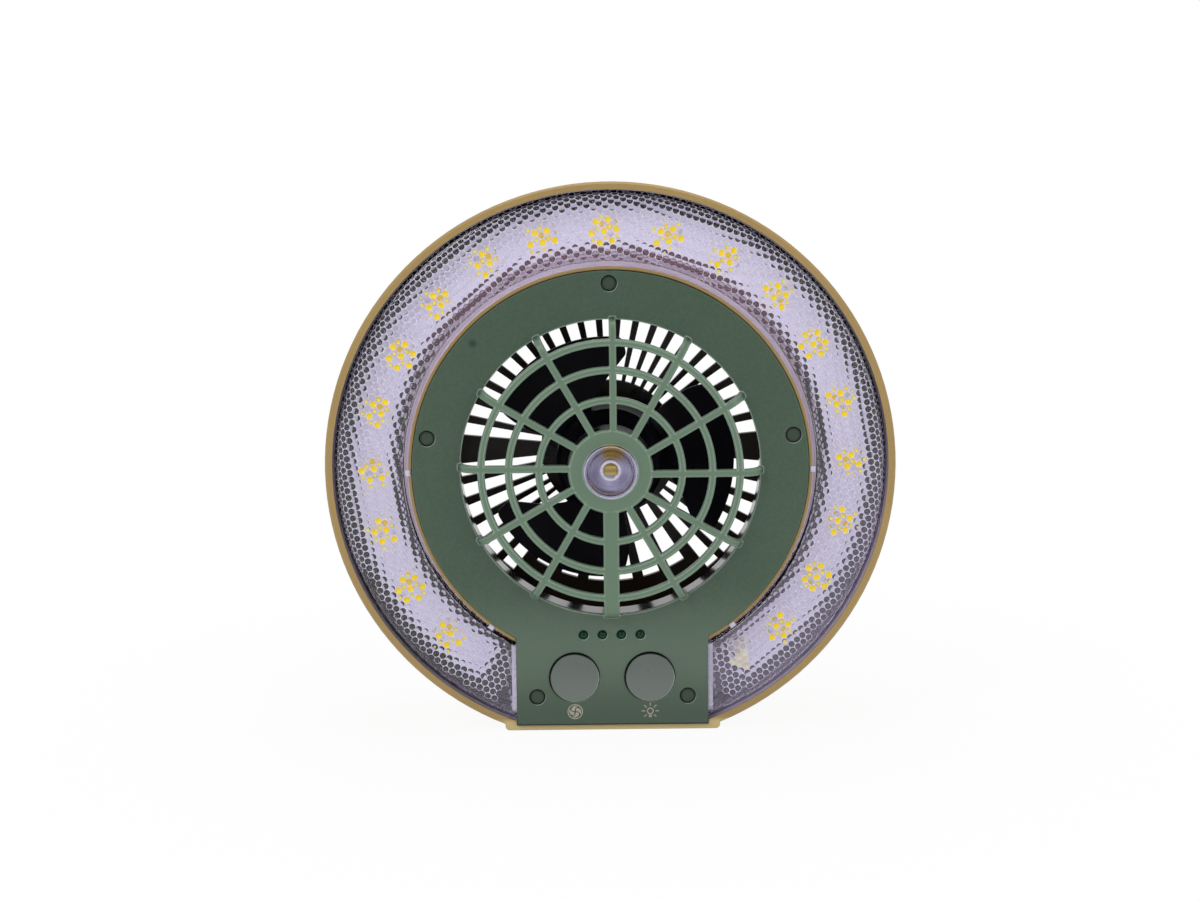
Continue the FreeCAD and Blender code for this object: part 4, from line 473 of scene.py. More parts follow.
def make_button_plastic(name):
    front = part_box("fan_button")[0].y

    def shade(recipe, tone):
        """Paler foot as painted light, a dark line at the upper left as painted shade and a pale one at the
        lower right as painted highlight, and painted shade in the gap behind the face.
        """
        _, _, z = recipe.parts()
        away, leaning = off_points(recipe, BUTTON_PLACES)
        middle = BUTTON_PLACES[0].z
        tone = recipe.mix(recipe.smooth(z, middle + 7 * MM, middle - 7 * MM, 0.0, 0.6), tone,
                          colour(122, 130, 124))
        # Painted shade at the upper left and painted highlight at the lower right of each button's edge
        line = recipe.smooth(away, BUTTON_HOLE - 0.6 * MM, BUTTON_HOLE - 0.35 * MM)
        highlight_line = recipe.times(line, recipe.smooth(leaning, -1 * MM, -6 * MM, 0.0, 0.8))
        dark = recipe.times(line, recipe.smooth(leaning, 0.0, 5 * MM, 0.0, 0.9))
        tone = recipe.mix(highlight_line, tone, colour(196, 204, 198))
        tone = recipe.mix(dark, tone, colour(18, 26, 20))
        return paint_gap_shade(recipe, tone, front + 0.1 * MM)

    return moulded_plastic(name, colour(100, 110, 104), colour(124, 134, 127),
                           colour(96, 106, 100), depth=0.004 * MM, rough=0.3, edge=0.25 * MM,
                           wear_and_highlight=0.3, shade=shade)


def make_plug_plastic(name):
    def shade(recipe, tone):
        """Painted shade as a dark ring round each plug."""
        away, _ = off_points(recipe, PLUG_PLACES)
        return recipe.mix(recipe.smooth(away, 1.6 * MM, 2.2 * MM, 0.0, 0.9), tone, colour(18, 27, 20))

    return moulded_plastic(name, colour(50, 68, 48), colour(66, 84, 64),
                           colour(44, 62, 42), depth=0.006 * MM, shade=shade)


def make_bail_plastic(name):
    """Green plastic of the folding bail."""
    return moulded_plastic(name, colour(70, 92, 74), colour(132, 156, 136),
                           colour(62, 83, 66), depth=0.01 * MM, rough=0.4, edge=0.5 * MM, wear_and_highlight=0.5)


def make_cap_plastic(name):
    """Dark green sides of the spotlight's cap with a painted highlight as a pale line along its edges."""
    return moulded_plastic(name, colour(8, 10, 9), colour(176, 192, 180),
                           colour(6, 8, 7), edge=0.16 * MM, wear_and_highlight=1.6)


def make_spot_plastic(name):
    """Clear cup with a violet cast and a painted reflection of its lamp's yellow at the top."""
    recipe = Recipe(name)
    x, _, _ = recipe.parts()
    # Painted reflection: the lamp's yellow near the top of the cup
    off_middle = recipe.maths("ABSOLUTE", recipe.minus(x, 0.9 * MM))
    near = recipe.smooth(off_middle, 5.2 * MM, 2.0 * MM)
    painted_reflection = recipe.times(near, recipe.smooth(recipe.height(), 2.4 * MM, 5.0 * MM, 0.0, 0.85))
    tint = recipe.mix(recipe.noise(3 * MM), colour(232, 229, 250), colour(244, 242, 255))
    tint = recipe.mix(painted_reflection, tint, colour(255, 222, 112))
    return recipe.finish(Base_Color=tint, Roughness=0.04, IOR=PLASTIC_IOR, Transmission_Weight=1.0)


def make_lens_plastic(name):
    """Clear plastic with a faint violet cast and slight haze."""
    recipe = Recipe(name)
    haze = recipe.spread(recipe.noise(6 * MM, 3.0), 0.3, 0.7, 0.0, 0.03)
    tint = recipe.mix(recipe.noise(20 * MM), colour(248, 246, 254), colour(254, 252, 255))
    return recipe.finish(Base_Color=tint, Roughness=haze, IOR=PLASTIC_IOR, Transmission_Weight=1.0)


def make_lens_web(name):
    """Frosted whitish plastic of the borders between cells."""
    recipe = Recipe(name)
    grain, tone = recipe.speckle(1.1 * MM, 3.0, colour(216, 211, 234), colour(242, 239, 252))
    return recipe.finish(Base_Color=tone, Roughness=0.3, IOR=PLASTIC_IOR, Transmission_Weight=0.2,
                         Normal=recipe.bump(grain, 0.02 * MM))


def make_lamp_image_cell(name, first, second):
    """Cell painted with the yellow of the lamp under it, as refraction through the cell would show it."""
    recipe = Recipe(name)
    _, tone = recipe.speckle(1.3 * MM, 2.0, first, second, 0.35)
    return recipe.finish(Base_Color=tone, Roughness=0.45, Specular_IOR_Level=0.1)


def make_connector_cream(name):
    """Cream nylon of the lamp board's connector."""
    recipe = Recipe(name)
    grain, tone = recipe.speckle(0.8 * MM, 2.0, colour(214, 206, 186), colour(228, 221, 204))
    return recipe.finish(Base_Color=tone, Roughness=0.4, Normal=recipe.bump(grain, 0.01 * MM))


def make_board_white(name):
    """White solder mask with faint tracks and board weave."""
    recipe = Recipe(name)
    weave, tone = recipe.speckle(0.5 * MM, 2.0, colour(232, 229, 252), colour(238, 235, 255))
    track = recipe.maths("PINGPONG", recipe.minus(recipe.radius(), TRACK_RADIUS), TRACK_HALF_PITCH)
    line = recipe.smooth(track, 0.25 * MM, 0.45 * MM, 0.35, 0.0)
    tone = recipe.mix(line, tone, colour(196, 192, 220))
    return recipe.finish(Base_Color=tone, Roughness=0.32, Normal=recipe.bump(weave, 0.01 * MM))


def make_led_package(name):
    """White package with a round yellow window in a thin grey seam."""
    recipe = Recipe(name)
    angle = recipe.maths("ARCTAN2", recipe.parts()[0], recipe.height())
    turned = recipe.plus(angle, FULL_TURN + LED_PITCH / 2)
    local = recipe.minus(recipe.maths("MODULO", turned, LED_PITCH), LED_PITCH / 2)
    radius = recipe.radius()
    across = recipe.times(radius, recipe.maths("SINE", local))
    out = recipe.times(radius, recipe.maths("COSINE", local))
    off = recipe.length(across, recipe.minus(out, (LENS_INNER + LENS_OUTER) / 2))
    grain = recipe.noise(0.25 * MM, 3.0)
    body = recipe.mix(grain, colour(226, 222, 236), colour(240, 238, 248))
    seam = recipe.mix(recipe.smooth(off, LED_WINDOW + 0.3 * MM, LED_WINDOW + 0.12 * MM), body,
                      colour(150, 142, 128))
    yellow = recipe.mix(recipe.spread(grain, 0.3, 0.7), colour(255, 206, 6), colour(255, 222, 34))
    tone = recipe.mix(recipe.smooth(off, LED_WINDOW + 0.1 * MM, LED_WINDOW), seam, yellow)
    return recipe.finish(Base_Color=tone, Roughness=0.4, Normal=recipe.bump(grain, 0.01 * MM))


def make_spot_phosphor(name):
    """Brown-yellow chip of the spotlight."""
    recipe = Recipe(name)
    grain, tone = recipe.speckle(0.3 * MM, 3.0, colour(214, 176, 96), colour(236, 200, 112))
    return recipe.finish(Base_Color=tone, Roughness=0.3, Normal=recipe.bump(grain, 0.01 * MM))


def make_plain(name, first, second, rough, size=2 * MM, depth=0.004 * MM, **more):
    """Two close tones in fine noise over a slight bump."""
    recipe = Recipe(name)
    grain, tone = recipe.speckle(size, 3.0, first, second, 0.35)
    gloss = recipe.spread(recipe.noise(4 * size, 2.0), 0.3, 0.7, rough * 0.85, rough * 1.15)
    return recipe.finish(Base_Color=tone, Roughness=gloss, Normal=recipe.bump(grain, depth), **more)


def make_grille_plastic(name):
    return moulded_plastic(name, colour(36, 26, 23), colour(62, 50, 44), colour(28, 20, 18), rough=0.45)


def plain(*values, **more):
    """Function that makes a plain material of a name."""
    return lambda name: make_plain(name, *values, **more)


def metal(first, second, rough):
    return plain(first, second, rough, 1.5 * MM, 0.003 * MM, Metallic=1.0)


MATERIALS = {
    "tan_plastic": make_tan_plastic,
    "green_plastic": make_green_plastic,
    "plug_plastic": make_plug_plastic,
    "button_plastic": make_button_plastic,
    "duct_plastic": plain(colour(16, 15, 17), colour(22, 20, 22), 0.16),
    "lens_plastic": make_lens_plastic,
    "spot_plastic": make_spot_plastic,
    "board_white": make_board_white,
    "board_green": plain(colour(18, 84, 44), colour(24, 98, 54), 0.3, Coat_Weight=0.5),
    "led_package": make_led_package,
    "indicator_clear": plain(
        colour(0, 44, 26), colour(4, 62, 38), 0.24, 0.6 * MM, Specular_IOR_Level=0.25),
    "grille_plastic": make_grille_plastic,
    "fan_plastic": plain(colour(4, 3, 10), colour(8, 6, 16), 0.45, 3 * MM, Specular_IOR_Level=0.1),
    "screw_steel": metal(colour(170, 172, 176), colour(188, 190, 193), 0.3),
    "motor_steel": metal(colour(52, 51, 56), colour(62, 61, 66), 0.5),
    "magnet": plain(colour(52, 52, 56), colour(60, 60, 64), 0.6),
    "copper_wire": metal(colour(184, 104, 60), colour(200, 120, 72), 0.3),
    "bearing_bronze": metal(colour(176, 140, 84), colour(160, 124, 70), 0.4),
    "cell_wrap": plain(colour(32, 96, 168), colour(38, 104, 178), 0.25),
    "switch_body": plain(colour(26, 26, 28), colour(34, 34, 36), 0.4),
    "socket_steel": metal(colour(198, 200, 204), colour(210, 212, 215), 0.2),
}


def dress_frame():
    """Each node gets the material of its slot, or one of its own, and smooth shading over its
    round faces."""
    made = {slot: make(slot) for slot, make in MATERIALS.items()}
    made["connector_cream"] = make_connector_cream("connector_cream")
    own = {
        "spot_led": make_spot_phosphor("spot_phosphor"),
        "led_connector": made["connector_cream"],
        "spot_cap": make_cap_plastic("cap_plastic"),
        "bail": make_bail_plastic("bail_plastic"),
        "motor_screws": made["motor_steel"],
    }
    for subpart in frame["record"]["subparts"]:
        name = subpart["node"]
        mesh = frame["nodes"][name].data
        mesh.materials.clear()
        mesh.materials.append(own.get(name, made[subpart["material_slot"]]))
        mesh.polygons.foreach_set("use_smooth", [True] * len(mesh.polygons))
        mesh.set_sharp_from_angle(angle=SHARP_ANGLE)
    frame["nodes"]["spot_lens"].visible_shadow = False
    return made


# Mesh building

def add_object(name, data):
    """Object for a mesh, light or camera, linked to the scene."""
    made = bpy.data.objects.new(name, data)
    bpy.context.scene.collection.objects.link(made)
    return made


def finish_piece(mesh, materials, smooth=True):
    """Piece of a mesh, with its name, that rides on the case."""
    if smooth:
        mesh.polygons.foreach_set("use_smooth", [True] * len(mesh.polygons))
    for material in materials:
        mesh.materials.append(material)
    piece = add_object(mesh.name, mesh)
    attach(piece, "case")
    return piece


def add_piece(name, points, faces, material, smooth=True):
    """Piece from points and faces."""
    mesh = bpy.data.meshes.new(name)
    mesh.from_pydata([tuple(point) for point in points], [], faces)
    mesh.update()
    return finish_piece(mesh, [material], smooth)


def close_shell(name, shell):
    """Mesh of a closed shell, its faces turned outward."""
    bmesh.ops.recalc_face_normals(shell, faces=shell.faces)
    mesh = bpy.data.meshes.new(name)
    shell.to_mesh(mesh)
    shell.free()
    return mesh


# Lamp lens: a smooth front sheet and a back sheet of small domes, closed all round

def lens_section(along):
    """Radius, depth, and the radius and depth parts of the outward normal, at a length along
    the lens's front outline. It equals the radius on the flat front and runs on round the rolls."""
    inner_flat = LENS_INNER + LENS_INNER_ROLL
    outer_flat = LENS_OUTER - LENS_ROLL
    if along < inner_flat:
        bend = (inner_flat - along) / LENS_INNER_ROLL
        if bend > pi / 2:
            return LENS_INNER, LENS_FRONT + LENS_INNER_ROLL * (1 + bend - pi / 2), -1.0, 0.0
        return (inner_flat - LENS_INNER_ROLL * sin(bend),
                LENS_FRONT + LENS_INNER_ROLL * (1 - cos(bend)), -sin(bend), -cos(bend))
    if along > outer_flat:
        bend = (along - outer_flat) / LENS_ARC
        if bend > pi / 2:
            extra = (bend - pi / 2) * LENS_ARC
            return LENS_OUTER, LENS_FRONT + LENS_DROP + extra, 1.0, 0.0
        return (outer_flat + LENS_ROLL * sin(bend),
                LENS_FRONT + LENS_DROP * (1 - cos(bend)), sin(bend), -cos(bend))
    return along, LENS_FRONT, 0.0, -1.0


def lens_point(along, angle, thickness):
    """Point of the lens at a depth of thickness under its front face."""
    radius, depth, out, back = lens_section(along)
    return polar(radius - out * thickness, angle, depth - back * thickness)


def end_angle(along):
    """Angle at which the lens ends beside the tab."""
    radius = lens_section(along)[0]
    return pi - asin(LENS_END / radius)


def dome_height(distance):
    """How far a cell bulges at a distance from its centre."""
    return max(0.0, DOME_REACH ** 2 - distance ** 2) / (2 * DOME_RADIUS)


def cell_centres():
    """Places of the cells on the unrolled lens, as X and Z from the fan axis, with the number of
    the sublattice that each belongs to. Cells of one sublattice lie two borders apart."""
    reach = int(LENS_STOP / CELL_PITCH * 1.3) + 2
    centres = []
    for row in range(-reach, reach + 1):
        for column in range(-reach, reach + 1):
            across = (column + row / 2) * CELL_PITCH
            up = row * CELL_PITCH * sqrt(3) / 2
            x = across * cos(CELL_TURN) - up * sin(CELL_TURN)
            z = across * sin(CELL_TURN) + up * cos(CELL_TURN)
            length = hypot(x, z)
            if LENS_START - CELL_PITCH < length < LENS_STOP + CELL_PITCH:
                if not (z < 0 and abs(x) < LENS_END - CELL_PITCH):
                    centres.append((x, z, (column - row) % 3))
    return centres


def lamp_distance(x, z):
    """Distance of a cell from the nearest lamp of the ring."""
    number = round((atan2(x, z) - LAMP_IMAGE_TURN) / LED_PITCH)
    last = (LED_COUNT - 1) // 2
    turn = min(max(number, -last), last) * LED_PITCH + LAMP_IMAGE_TURN
    return hypot(x - LAMP_IMAGE_ORBIT * sin(turn), z - LAMP_IMAGE_ORBIT * cos(turn))


def cell_finish(x, z, sublattice):
    """Materials of a cell's middle, of the ring round it and of its border."""
    radius = hypot(x, z)
    turn = abs(atan2(x, z))
    border = WEB
    if radius < WEB_START or turn > WEB_TURN:
        border = CLEAR
    if radius > WEB_DIM_RADIUS and turn > WEB_DIM_TURN:
        border = CLEAR
    if hypot(x - CONNECTOR_PLACE[0], z - CONNECTOR_PLACE[1]) < CONNECTOR_REACH:
        return CREAM, CREAM, CREAM
    distance = lamp_distance(x, z)
    # Painted refraction image: cells near a lamp take its yellow
    if sublattice == 0 and distance < LAMP_IMAGE_REACH:
        return LAMP_IMAGE, LAMP_IMAGE, border
    if sublattice == 1 and distance < FAINT_IMAGE_REACH:
        return LAMP_IMAGE, FAINT_LAMP_IMAGE, border
    if sublattice == 0 and distance < LAMP_IMAGE_REACH + CELL_PITCH / 2:
        return FAINT_LAMP_IMAGE, CLEAR, border
    return CLEAR, CLEAR, border


def clamp_to_lens(x, z):
    """Length along the outline and angle of a point, held inside the lens's borders, and whether
    it lay inside them by itself."""
    length = hypot(x, z)
    held = min(max(length, LENS_START), LENS_STOP)
    angle = atan2(x, z)
    limit = end_angle(held)
    held_angle = min(max(angle, -limit), limit)
    inside = held == length and held_angle == angle
    return held, held_angle, inside


def lens_back():
    """Points of the domed back sheet, their places on the unrolled lens, and its faces with the
    number of each one's material."""
    points = []
    places = []
    kept = []
    index = {}

    def corner(x, z, height):
        key = (round(x / MM, 3), round(z / MM, 3))
        if key not in index:
            along, angle, inside = clamp_to_lens(x, z)
            index[key] = len(points)
            kept.append(inside)
            thickness = LENS_WALL + (height if INNER_STOP < along < OUTER_STOP else 0.0)
            points.append(lens_point(along, angle, thickness))
            places.append((along * sin(angle), along * cos(angle)))
        return index[key]

    faces = []
    for x, z, sublattice in cell_centres():
        rings = []
        for share in DOME_RINGS:
            reach = share * DOME_REACH
            rings.append([corner(x + reach * across, z + reach * up, dome_height(reach))
                          for across, up in CELL_DIRECTIONS])
        rings.append([corner(x + reach * across, z + reach * up, 0.0)
                      for reach, (across, up) in zip(BORDER_REACHES, CELL_DIRECTIONS)])
        top = corner(x, z, dome_height(0.0))
        middle, ring, edge = cell_finish(x, z, sublattice)
        beyond = CLEAR if ring == FAINT_LAMP_IMAGE else ring
        finishes = (ring, beyond, beyond, edge)
        for side in range(CELL_SIDES):
            after = (side + 1) % CELL_SIDES
            faces.append(((top, rings[0][side], rings[0][after]), middle))
            for inner, outer, finish in zip(rings, rings[1:], finishes):
                faces.append(((inner[side], outer[side], outer[after], inner[after]), finish))
    faces = [(face, finish) for face, finish in faces if any(kept[number] for number in face)]
    return points, places, faces


def lens_front():
    """Points, places and faces of the smooth front sheet, row by row from the inner border."""
    flat_start = LENS_INNER + LENS_INNER_ROLL
    flat_stop = LENS_OUTER - LENS_ROLL
    flat_step = (flat_stop - flat_start) / FLAT_STEPS
    inner_step = LENS_INNER_ROLL * pi / 2 / INNER_ROLL_STEPS
    outer_step = LENS_ARC * pi / 2 / OUTER_ROLL_STEPS
    stops = [LENS_START]
    stops += [flat_start - step * inner_step for step in range(INNER_ROLL_STEPS, -1, -1)]
    stops += [flat_start + step * flat_step for step in range(1, FLAT_STEPS + 1)]
    stops += [flat_stop + step * outer_step for step in range(1, OUTER_ROLL_STEPS + 1)]
    stops.append(LENS_STOP)
    points = []
    places = []
    for along in stops:
        limit = end_angle(along)
        for step in range(LENS_STEPS + 1):
            angle = -limit + 2 * limit * step / LENS_STEPS
            points.append(lens_point(along, angle, 0.0))
            places.append((along * sin(angle), along * cos(angle)))
    row_length = LENS_STEPS + 1
    faces = []
    for row in range(len(stops) - 1):
        for first in range(row * row_length, row * row_length + LENS_STEPS):
            faces.append(((first, first + row_length, first + row_length + 1, first + 1), CLEAR))
    return points, places, faces


def border_loop(places, faces):
    """Numbers of the points round a sheet's border from its lower left outer corner, clockwise,
    each with its share of the way round."""
    edges = set()
    for face, _ in faces:
        for start, end in zip(face, face[1:] + face[:1]):
            if start != end:
                edges.add((start, end))
    following = {start: end for start, end in edges if (end, start) not in edges}
    first = min(following, key=lambda number: places[number][0] + 3 * places[number][1])
    loop = [first]
    while following[loop[-1]] != first:
        loop.append(following[loop[-1]])
    area = sum(places[start][0] * places[end][1] - places[end][0] * places[start][1]
               for start, end in zip(loop, loop[1:] + loop[:1]))
    if area > 0:
        loop = loop[:1] + loop[:0:-1]
    lengths = [0.0]
    for start, end in zip(loop, loop[1:] + loop[:1]):
        lengths.append(lengths[-1] + hypot(places[end][0] - places[start][0],
                                           places[end][1] - places[start][1]))
    return loop + [first], [length / lengths[-1] for length in lengths]


def zip_loops(first, second):
    """Triangles between two border loops, matched by their shares of the way round."""
    (front, front_shares), (back, back_shares) = first, second
    faces = []
    one = two = 0
    while one < len(front) - 1 or two < len(back) - 1:
        back_done = two == len(back) - 1
        front_left = one < len(front) - 1
        if back_done or (front_left and front_shares[one + 1] <= back_shares[two + 1]):
            faces.append((front[one], front[one + 1], back[two]))
            one += 1
        else:
            faces.append((front[one], back[two + 1], back[two]))
            two += 1
    return faces


def make_lamp_lens(materials):
    """Closed shell of the lamp's lens, which stands for the plain lens node."""
    points, places, faces = lens_front()
    back_points, back_places, back_faces = lens_back()
    front_loop = border_loop(places, faces)
    back_loop, back_shares = border_loop(back_places, back_faces)
    shift = len(points)
    faces += [(tuple(number + shift for number in face), finish) for face, finish in back_faces]
    seam = zip_loops(front_loop, ([number + shift for number in back_loop], back_shares))
    faces += [(face, CLEAR) for face in seam]
    shell = bmesh.new()
    corners = [shell.verts.new(point) for point in points + back_points]
    for numbers, finish in faces:
        if len(set(numbers)) == len(numbers):
            ends = [corners[number] for number in numbers]
            if shell.faces.get(ends) is None:
                shell.faces.new(ends).material_index = finish
    loose = [corner for corner in shell.verts if not corner.link_faces]
    bmesh.ops.delete(shell, geom=loose, context="VERTS")
    bmesh.ops.remove_doubles(shell, verts=shell.verts, dist=SAME_POINT)
    bmesh.ops.dissolve_degenerate(shell, edges=shell.edges, dist=SAME_POINT)
    lens = finish_piece(close_shell("lamp_lens", shell), materials)
    lens.visible_shadow = False
    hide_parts("light_lens")


def make_end_walls(material):
    """Clear walls that close the lamp channel beside the tab, one at each end of the lens."""
    front = LENS_FRONT + LENS_WALL + 0.02 * MM
    back = TRAY_FLOOR - 0.1 * MM
    inner = LENS_INNER + LENS_WALL + WALL_GAP
    outer = LENS_OUTER - LENS_WALL - WALL_GAP
    roll_start = LENS_OUTER - LENS_ROLL
    outline = [(inner, back), (inner, front)]
    for step in range(1, WALL_STEPS + 1):
        turn = pi / 2 * step / WALL_STEPS
        outline.append((roll_start + (outer - roll_start) * sin(turn),
                        front + WALL_DROP * (1 - cos(turn))))
    outline.append((outer, back))
    walls = bmesh.new()
    for side in (-1, 1):
        first, second = [
            [walls.verts.new((side * x, depth, AXIS_HEIGHT - sqrt(radius ** 2 - x ** 2)))
             for radius, depth in outline]
            for x in (LENS_END, LENS_END + LENS_WALL)
        ]
        walls.faces.new(first)
        walls.faces.new(second[::-1])
        for number in range(len(first)):
            after = (number + 1) % len(first)
            walls.faces.new((first[number], second[number], second[after], first[after]))
    mesh = close_shell("lens_end_walls", walls)
    piece = finish_piece(mesh, [material], smooth=False)
    piece.visible_shadow = False


# Small hooks that hold the lamp lens on the tan ring

HOOK_TURNS = [radians(turn) for turn in (-143.1, -90.9, 90.9, 143.1)]
HOOK_INNER = 69.9 * MM
HOOK_OUTER = 71.9 * MM
HOOK_HALF_LENGTH = 1.15 * MM
HOOK_RISE = 0.35 * MM
HOOK_STEPS = 8


def make_lens_hooks(material):
    """Low pads with rounded shoulders, each on the tan ring's front and against the lens."""
    middle = (HOOK_INNER + HOOK_OUTER) / 2
    half_width = (HOOK_OUTER - HOOK_INNER) / 2
    for number, turn in enumerate(HOOK_TURNS):
        points = []
        for row in range(HOOK_STEPS + 1):
            for column in range(HOOK_STEPS + 1):
                along = 2 * row / HOOK_STEPS - 1
                across = 2 * column / HOOK_STEPS - 1
                rise = HOOK_RISE * sqrt((1 - along ** 4) * (1 - across ** 4))
                angle = turn + along * HOOK_HALF_LENGTH / middle
                points.append(polar(middle + across * half_width, angle, RING_FRONT - rise))
        faces = []
        size = HOOK_STEPS + 1
        for row in range(HOOK_STEPS):
            for first in range(row * size, row * size + HOOK_STEPS):
                faces.append((first, first + 1, first + size + 1, first + size))
        last = size * size - 1
        border = [*range(HOOK_STEPS), *range(HOOK_STEPS, last, size)]
        border += [*range(last, last - HOOK_STEPS, -1), *range(last - HOOK_STEPS, 0, -size)]
        faces.append(tuple(border[::-1]))
        add_piece(f"lens_hook_{number + 1}", points, faces, material)


# Parts seen inside the spotlight's cup

SPOT_RING_RADIUS = 3.25 * MM
SPOT_RING_WIRE = 0.55 * MM
SPOT_RING_SINK = 3.9 * MM
SPOT_RIM_WIRE = 0.17 * MM
RING_TURNS = 72
RING_SIDES = 12
CHIP_WIDTH = 4.7 * MM
CHIP_HEIGHT = 3.5 * MM
CHIP_STEPS = 48
CHIP_RAISE = 0.2 * MM


def make_ring(name, radius, wire, depth, material):
    """Round ring about the fan axis."""
    points = []
    faces = []
    for turn in range(RING_TURNS):
        beyond = (turn + 1) % RING_TURNS
        for side in range(RING_SIDES):
            after = (side + 1) % RING_SIDES
            round_wire = FULL_TURN * side / RING_SIDES
            points.append(polar(radius + wire * cos(round_wire), FULL_TURN * turn / RING_TURNS,
                                depth + wire * sin(round_wire)))
            faces.append((turn * RING_SIDES + side, turn * RING_SIDES + after,
                          beyond * RING_SIDES + after, beyond * RING_SIDES + side))
    add_piece(name, points, faces, material)


def make_spot_chip(depth):
    """Brown-yellow chip with rounded corners in the ring."""
    steps = CHIP_STEPS
    loop = []
    for step in range(steps):
        turn = FULL_TURN * step / steps
        squash = (abs(cos(turn)) ** 4 + abs(sin(turn)) ** 4) ** -0.25
        loop.append((CHIP_WIDTH / 2 * squash * cos(turn), CHIP_HEIGHT / 2 * squash * sin(turn)))
    points = []
    for share, sink in ((0.86, 0.0), (1.0, 0.15 * MM), (1.0, 0.6 * MM)):
        points += [Vector((x * share, depth + sink, AXIS_HEIGHT + z * share)) for x, z in loop]
    faces = [tuple(range(steps)), tuple(range(3 * steps - 1, 2 * steps - 1, -1))]
    for row in (0, 1):
        for step in range(steps):
            after = (step + 1) % steps
            faces.append((row * steps + step, (row + 1) * steps + step,
                          (row + 1) * steps + after, row * steps + after))
    recipe = Recipe("chip_phosphor")
    height = recipe.maths("ABSOLUTE", recipe.height())
    grain = recipe.noise(0.5 * MM, 3.0)
    tone = recipe.mix(grain, colour(168, 146, 78), colour(190, 168, 98))
    tone = recipe.mix(recipe.smooth(height, 0.9 * MM, 0.3 * MM, 0.0, 0.7), tone, colour(128, 104, 52))
    material = recipe.finish(Base_Color=tone, Roughness=0.35, Normal=recipe.bump(grain, 0.02 * MM))
    add_piece("spot_chip", points, faces, material, smooth=False)


def make_spot_parts(material):
    collar = SPOT_FRONT + SPOT_RING_SINK
    make_ring("spot_collar", SPOT_RING_RADIUS, SPOT_RING_WIRE, collar, material)
    make_ring("spot_rim", SPOT_CUP_RADIUS - SPOT_RIM_WIRE, SPOT_RIM_WIRE,
              SPOT_FRONT + SPOT_RIM_WIRE, material)
    make_spot_chip(collar + CHIP_RAISE)


# Printed signs under the buttons

SIGN_DROP = 87.6 * MM
SIGN_RAISE = 0.03 * MM
SIGN_STROKE = 0.36 * MM
CIRCLE_STEPS = 40
FAN_SIGN_RADIUS = 2.75 * MM
RAY_START = 1.85 * MM
RAY_END = 3.05 * MM
RAY_COUNT = 8
FOOT_RAY = 6
BULB_RADIUS = 1.2 * MM
SOCKET_BARS = ((0.35 * MM, 0.62 * MM), (0.9 * MM, 0.5 * MM))
PETALS = 4
PETAL_TURN = radians(20)
PETAL_STEPS = 8
PETAL_START = 0.14
PETAL_LENGTH = 0.66
PETAL_LEAN_DEGREES = 6
PETAL_BULGE = radians(76)


def circle_points(radius):
    turns = [FULL_TURN * step / CIRCLE_STEPS for step in range(CIRCLE_STEPS)]
    return [(radius * cos(turn), radius * sin(turn)) for turn in turns]


def bar_points(start, end, width):
    """Corners of a bar between two points."""
    along = (Vector(end) - Vector(start)).normalized() * width / 2
    side = Vector((-along.y, along.x))
    return [tuple(Vector(start) + side), tuple(Vector(start) - side),
            tuple(Vector(end) - side), tuple(Vector(end) + side)]


def petal_points(turn):
    """Leaning petal of the fan sign, outward along one side and back along the other."""
    sides = [(step, 0.0) for step in range(PETAL_STEPS + 1)]
    for step in range(PETAL_STEPS, -1, -1):
        sides.append((step, PETAL_BULGE * sin(pi * (step + 1) / (PETAL_STEPS + 2))))
    points = []
    for step, bulge in sides:
        radius = FAN_SIGN_RADIUS * (PETAL_START + PETAL_LENGTH * step / PETAL_STEPS)
        angle = bulge - radians(PETAL_LEAN_DEGREES * step) + turn
        points.append((radius * cos(angle), radius * sin(angle)))
    return points


def fan_sign_outlines():
    rings = [circle_points(FAN_SIGN_RADIUS), circle_points(FAN_SIGN_RADIUS - SIGN_STROKE)]
    return rings + [petal_points(FULL_TURN * number / PETALS + PETAL_TURN) for number in range(PETALS)]


def lamp_sign_outlines():
    outlines = [circle_points(BULB_RADIUS), circle_points(BULB_RADIUS - SIGN_STROKE)]
    for number in range(RAY_COUNT):
        if number != FOOT_RAY:
            angle = FULL_TURN * number / RAY_COUNT
            outlines.append(bar_points(
                (RAY_START * cos(angle), RAY_START * sin(angle)),
                (RAY_END * cos(angle), RAY_END * sin(angle)), SIGN_STROKE,
            ))
    for drop, half in SOCKET_BARS:
        z = -BULB_RADIUS - drop
        outlines.append(bar_points((-half, z), (half, z), SIGN_STROKE))
    return outlines


def make_sign(name, x, outlines, material):
    """Thin printed sign on the panel, filled between its outlines."""
    curve = bpy.data.curves.new(name, "CURVE")
    curve.dimensions = "2D"
    curve.fill_mode = "BOTH"
    curve.extrude = SIGN_RAISE
    for outline in outlines:
        spline = curve.splines.new("POLY")
        spline.points.add(len(outline) - 1)
        for point, (across, up) in zip(spline.points, outline):
            point.co = (across, up, 0, 1)
        spline.use_cyclic_u = True
    drawn = bpy.data.objects.new(name + "_curve", curve)
    mesh = bpy.data.meshes.new_from_object(drawn)
    mesh.name = name
    bpy.data.objects.remove(drawn)
    mesh.transform(Matrix.Rotation(pi / 2, 4, "X"))
    mesh.transform(Matrix.Translation((x, PANEL_FRONT, AXIS_HEIGHT - SIGN_DROP)))
    mesh.materials.clear()
    finish_piece(mesh, [material], smooth=False)


def make_signs():
    ink = make_plain("sign_ink", colour(168, 164, 148), colour(182, 178, 162), 0.5, 0.6 * MM)
    fan_place, light_place = BUTTON_PLACES
    make_sign("fan_sign", fan_place.x, fan_sign_outlines(), ink)
    make_sign("lamp_sign", light_place.x, lamp_sign_outlines(), ink)


# Stage

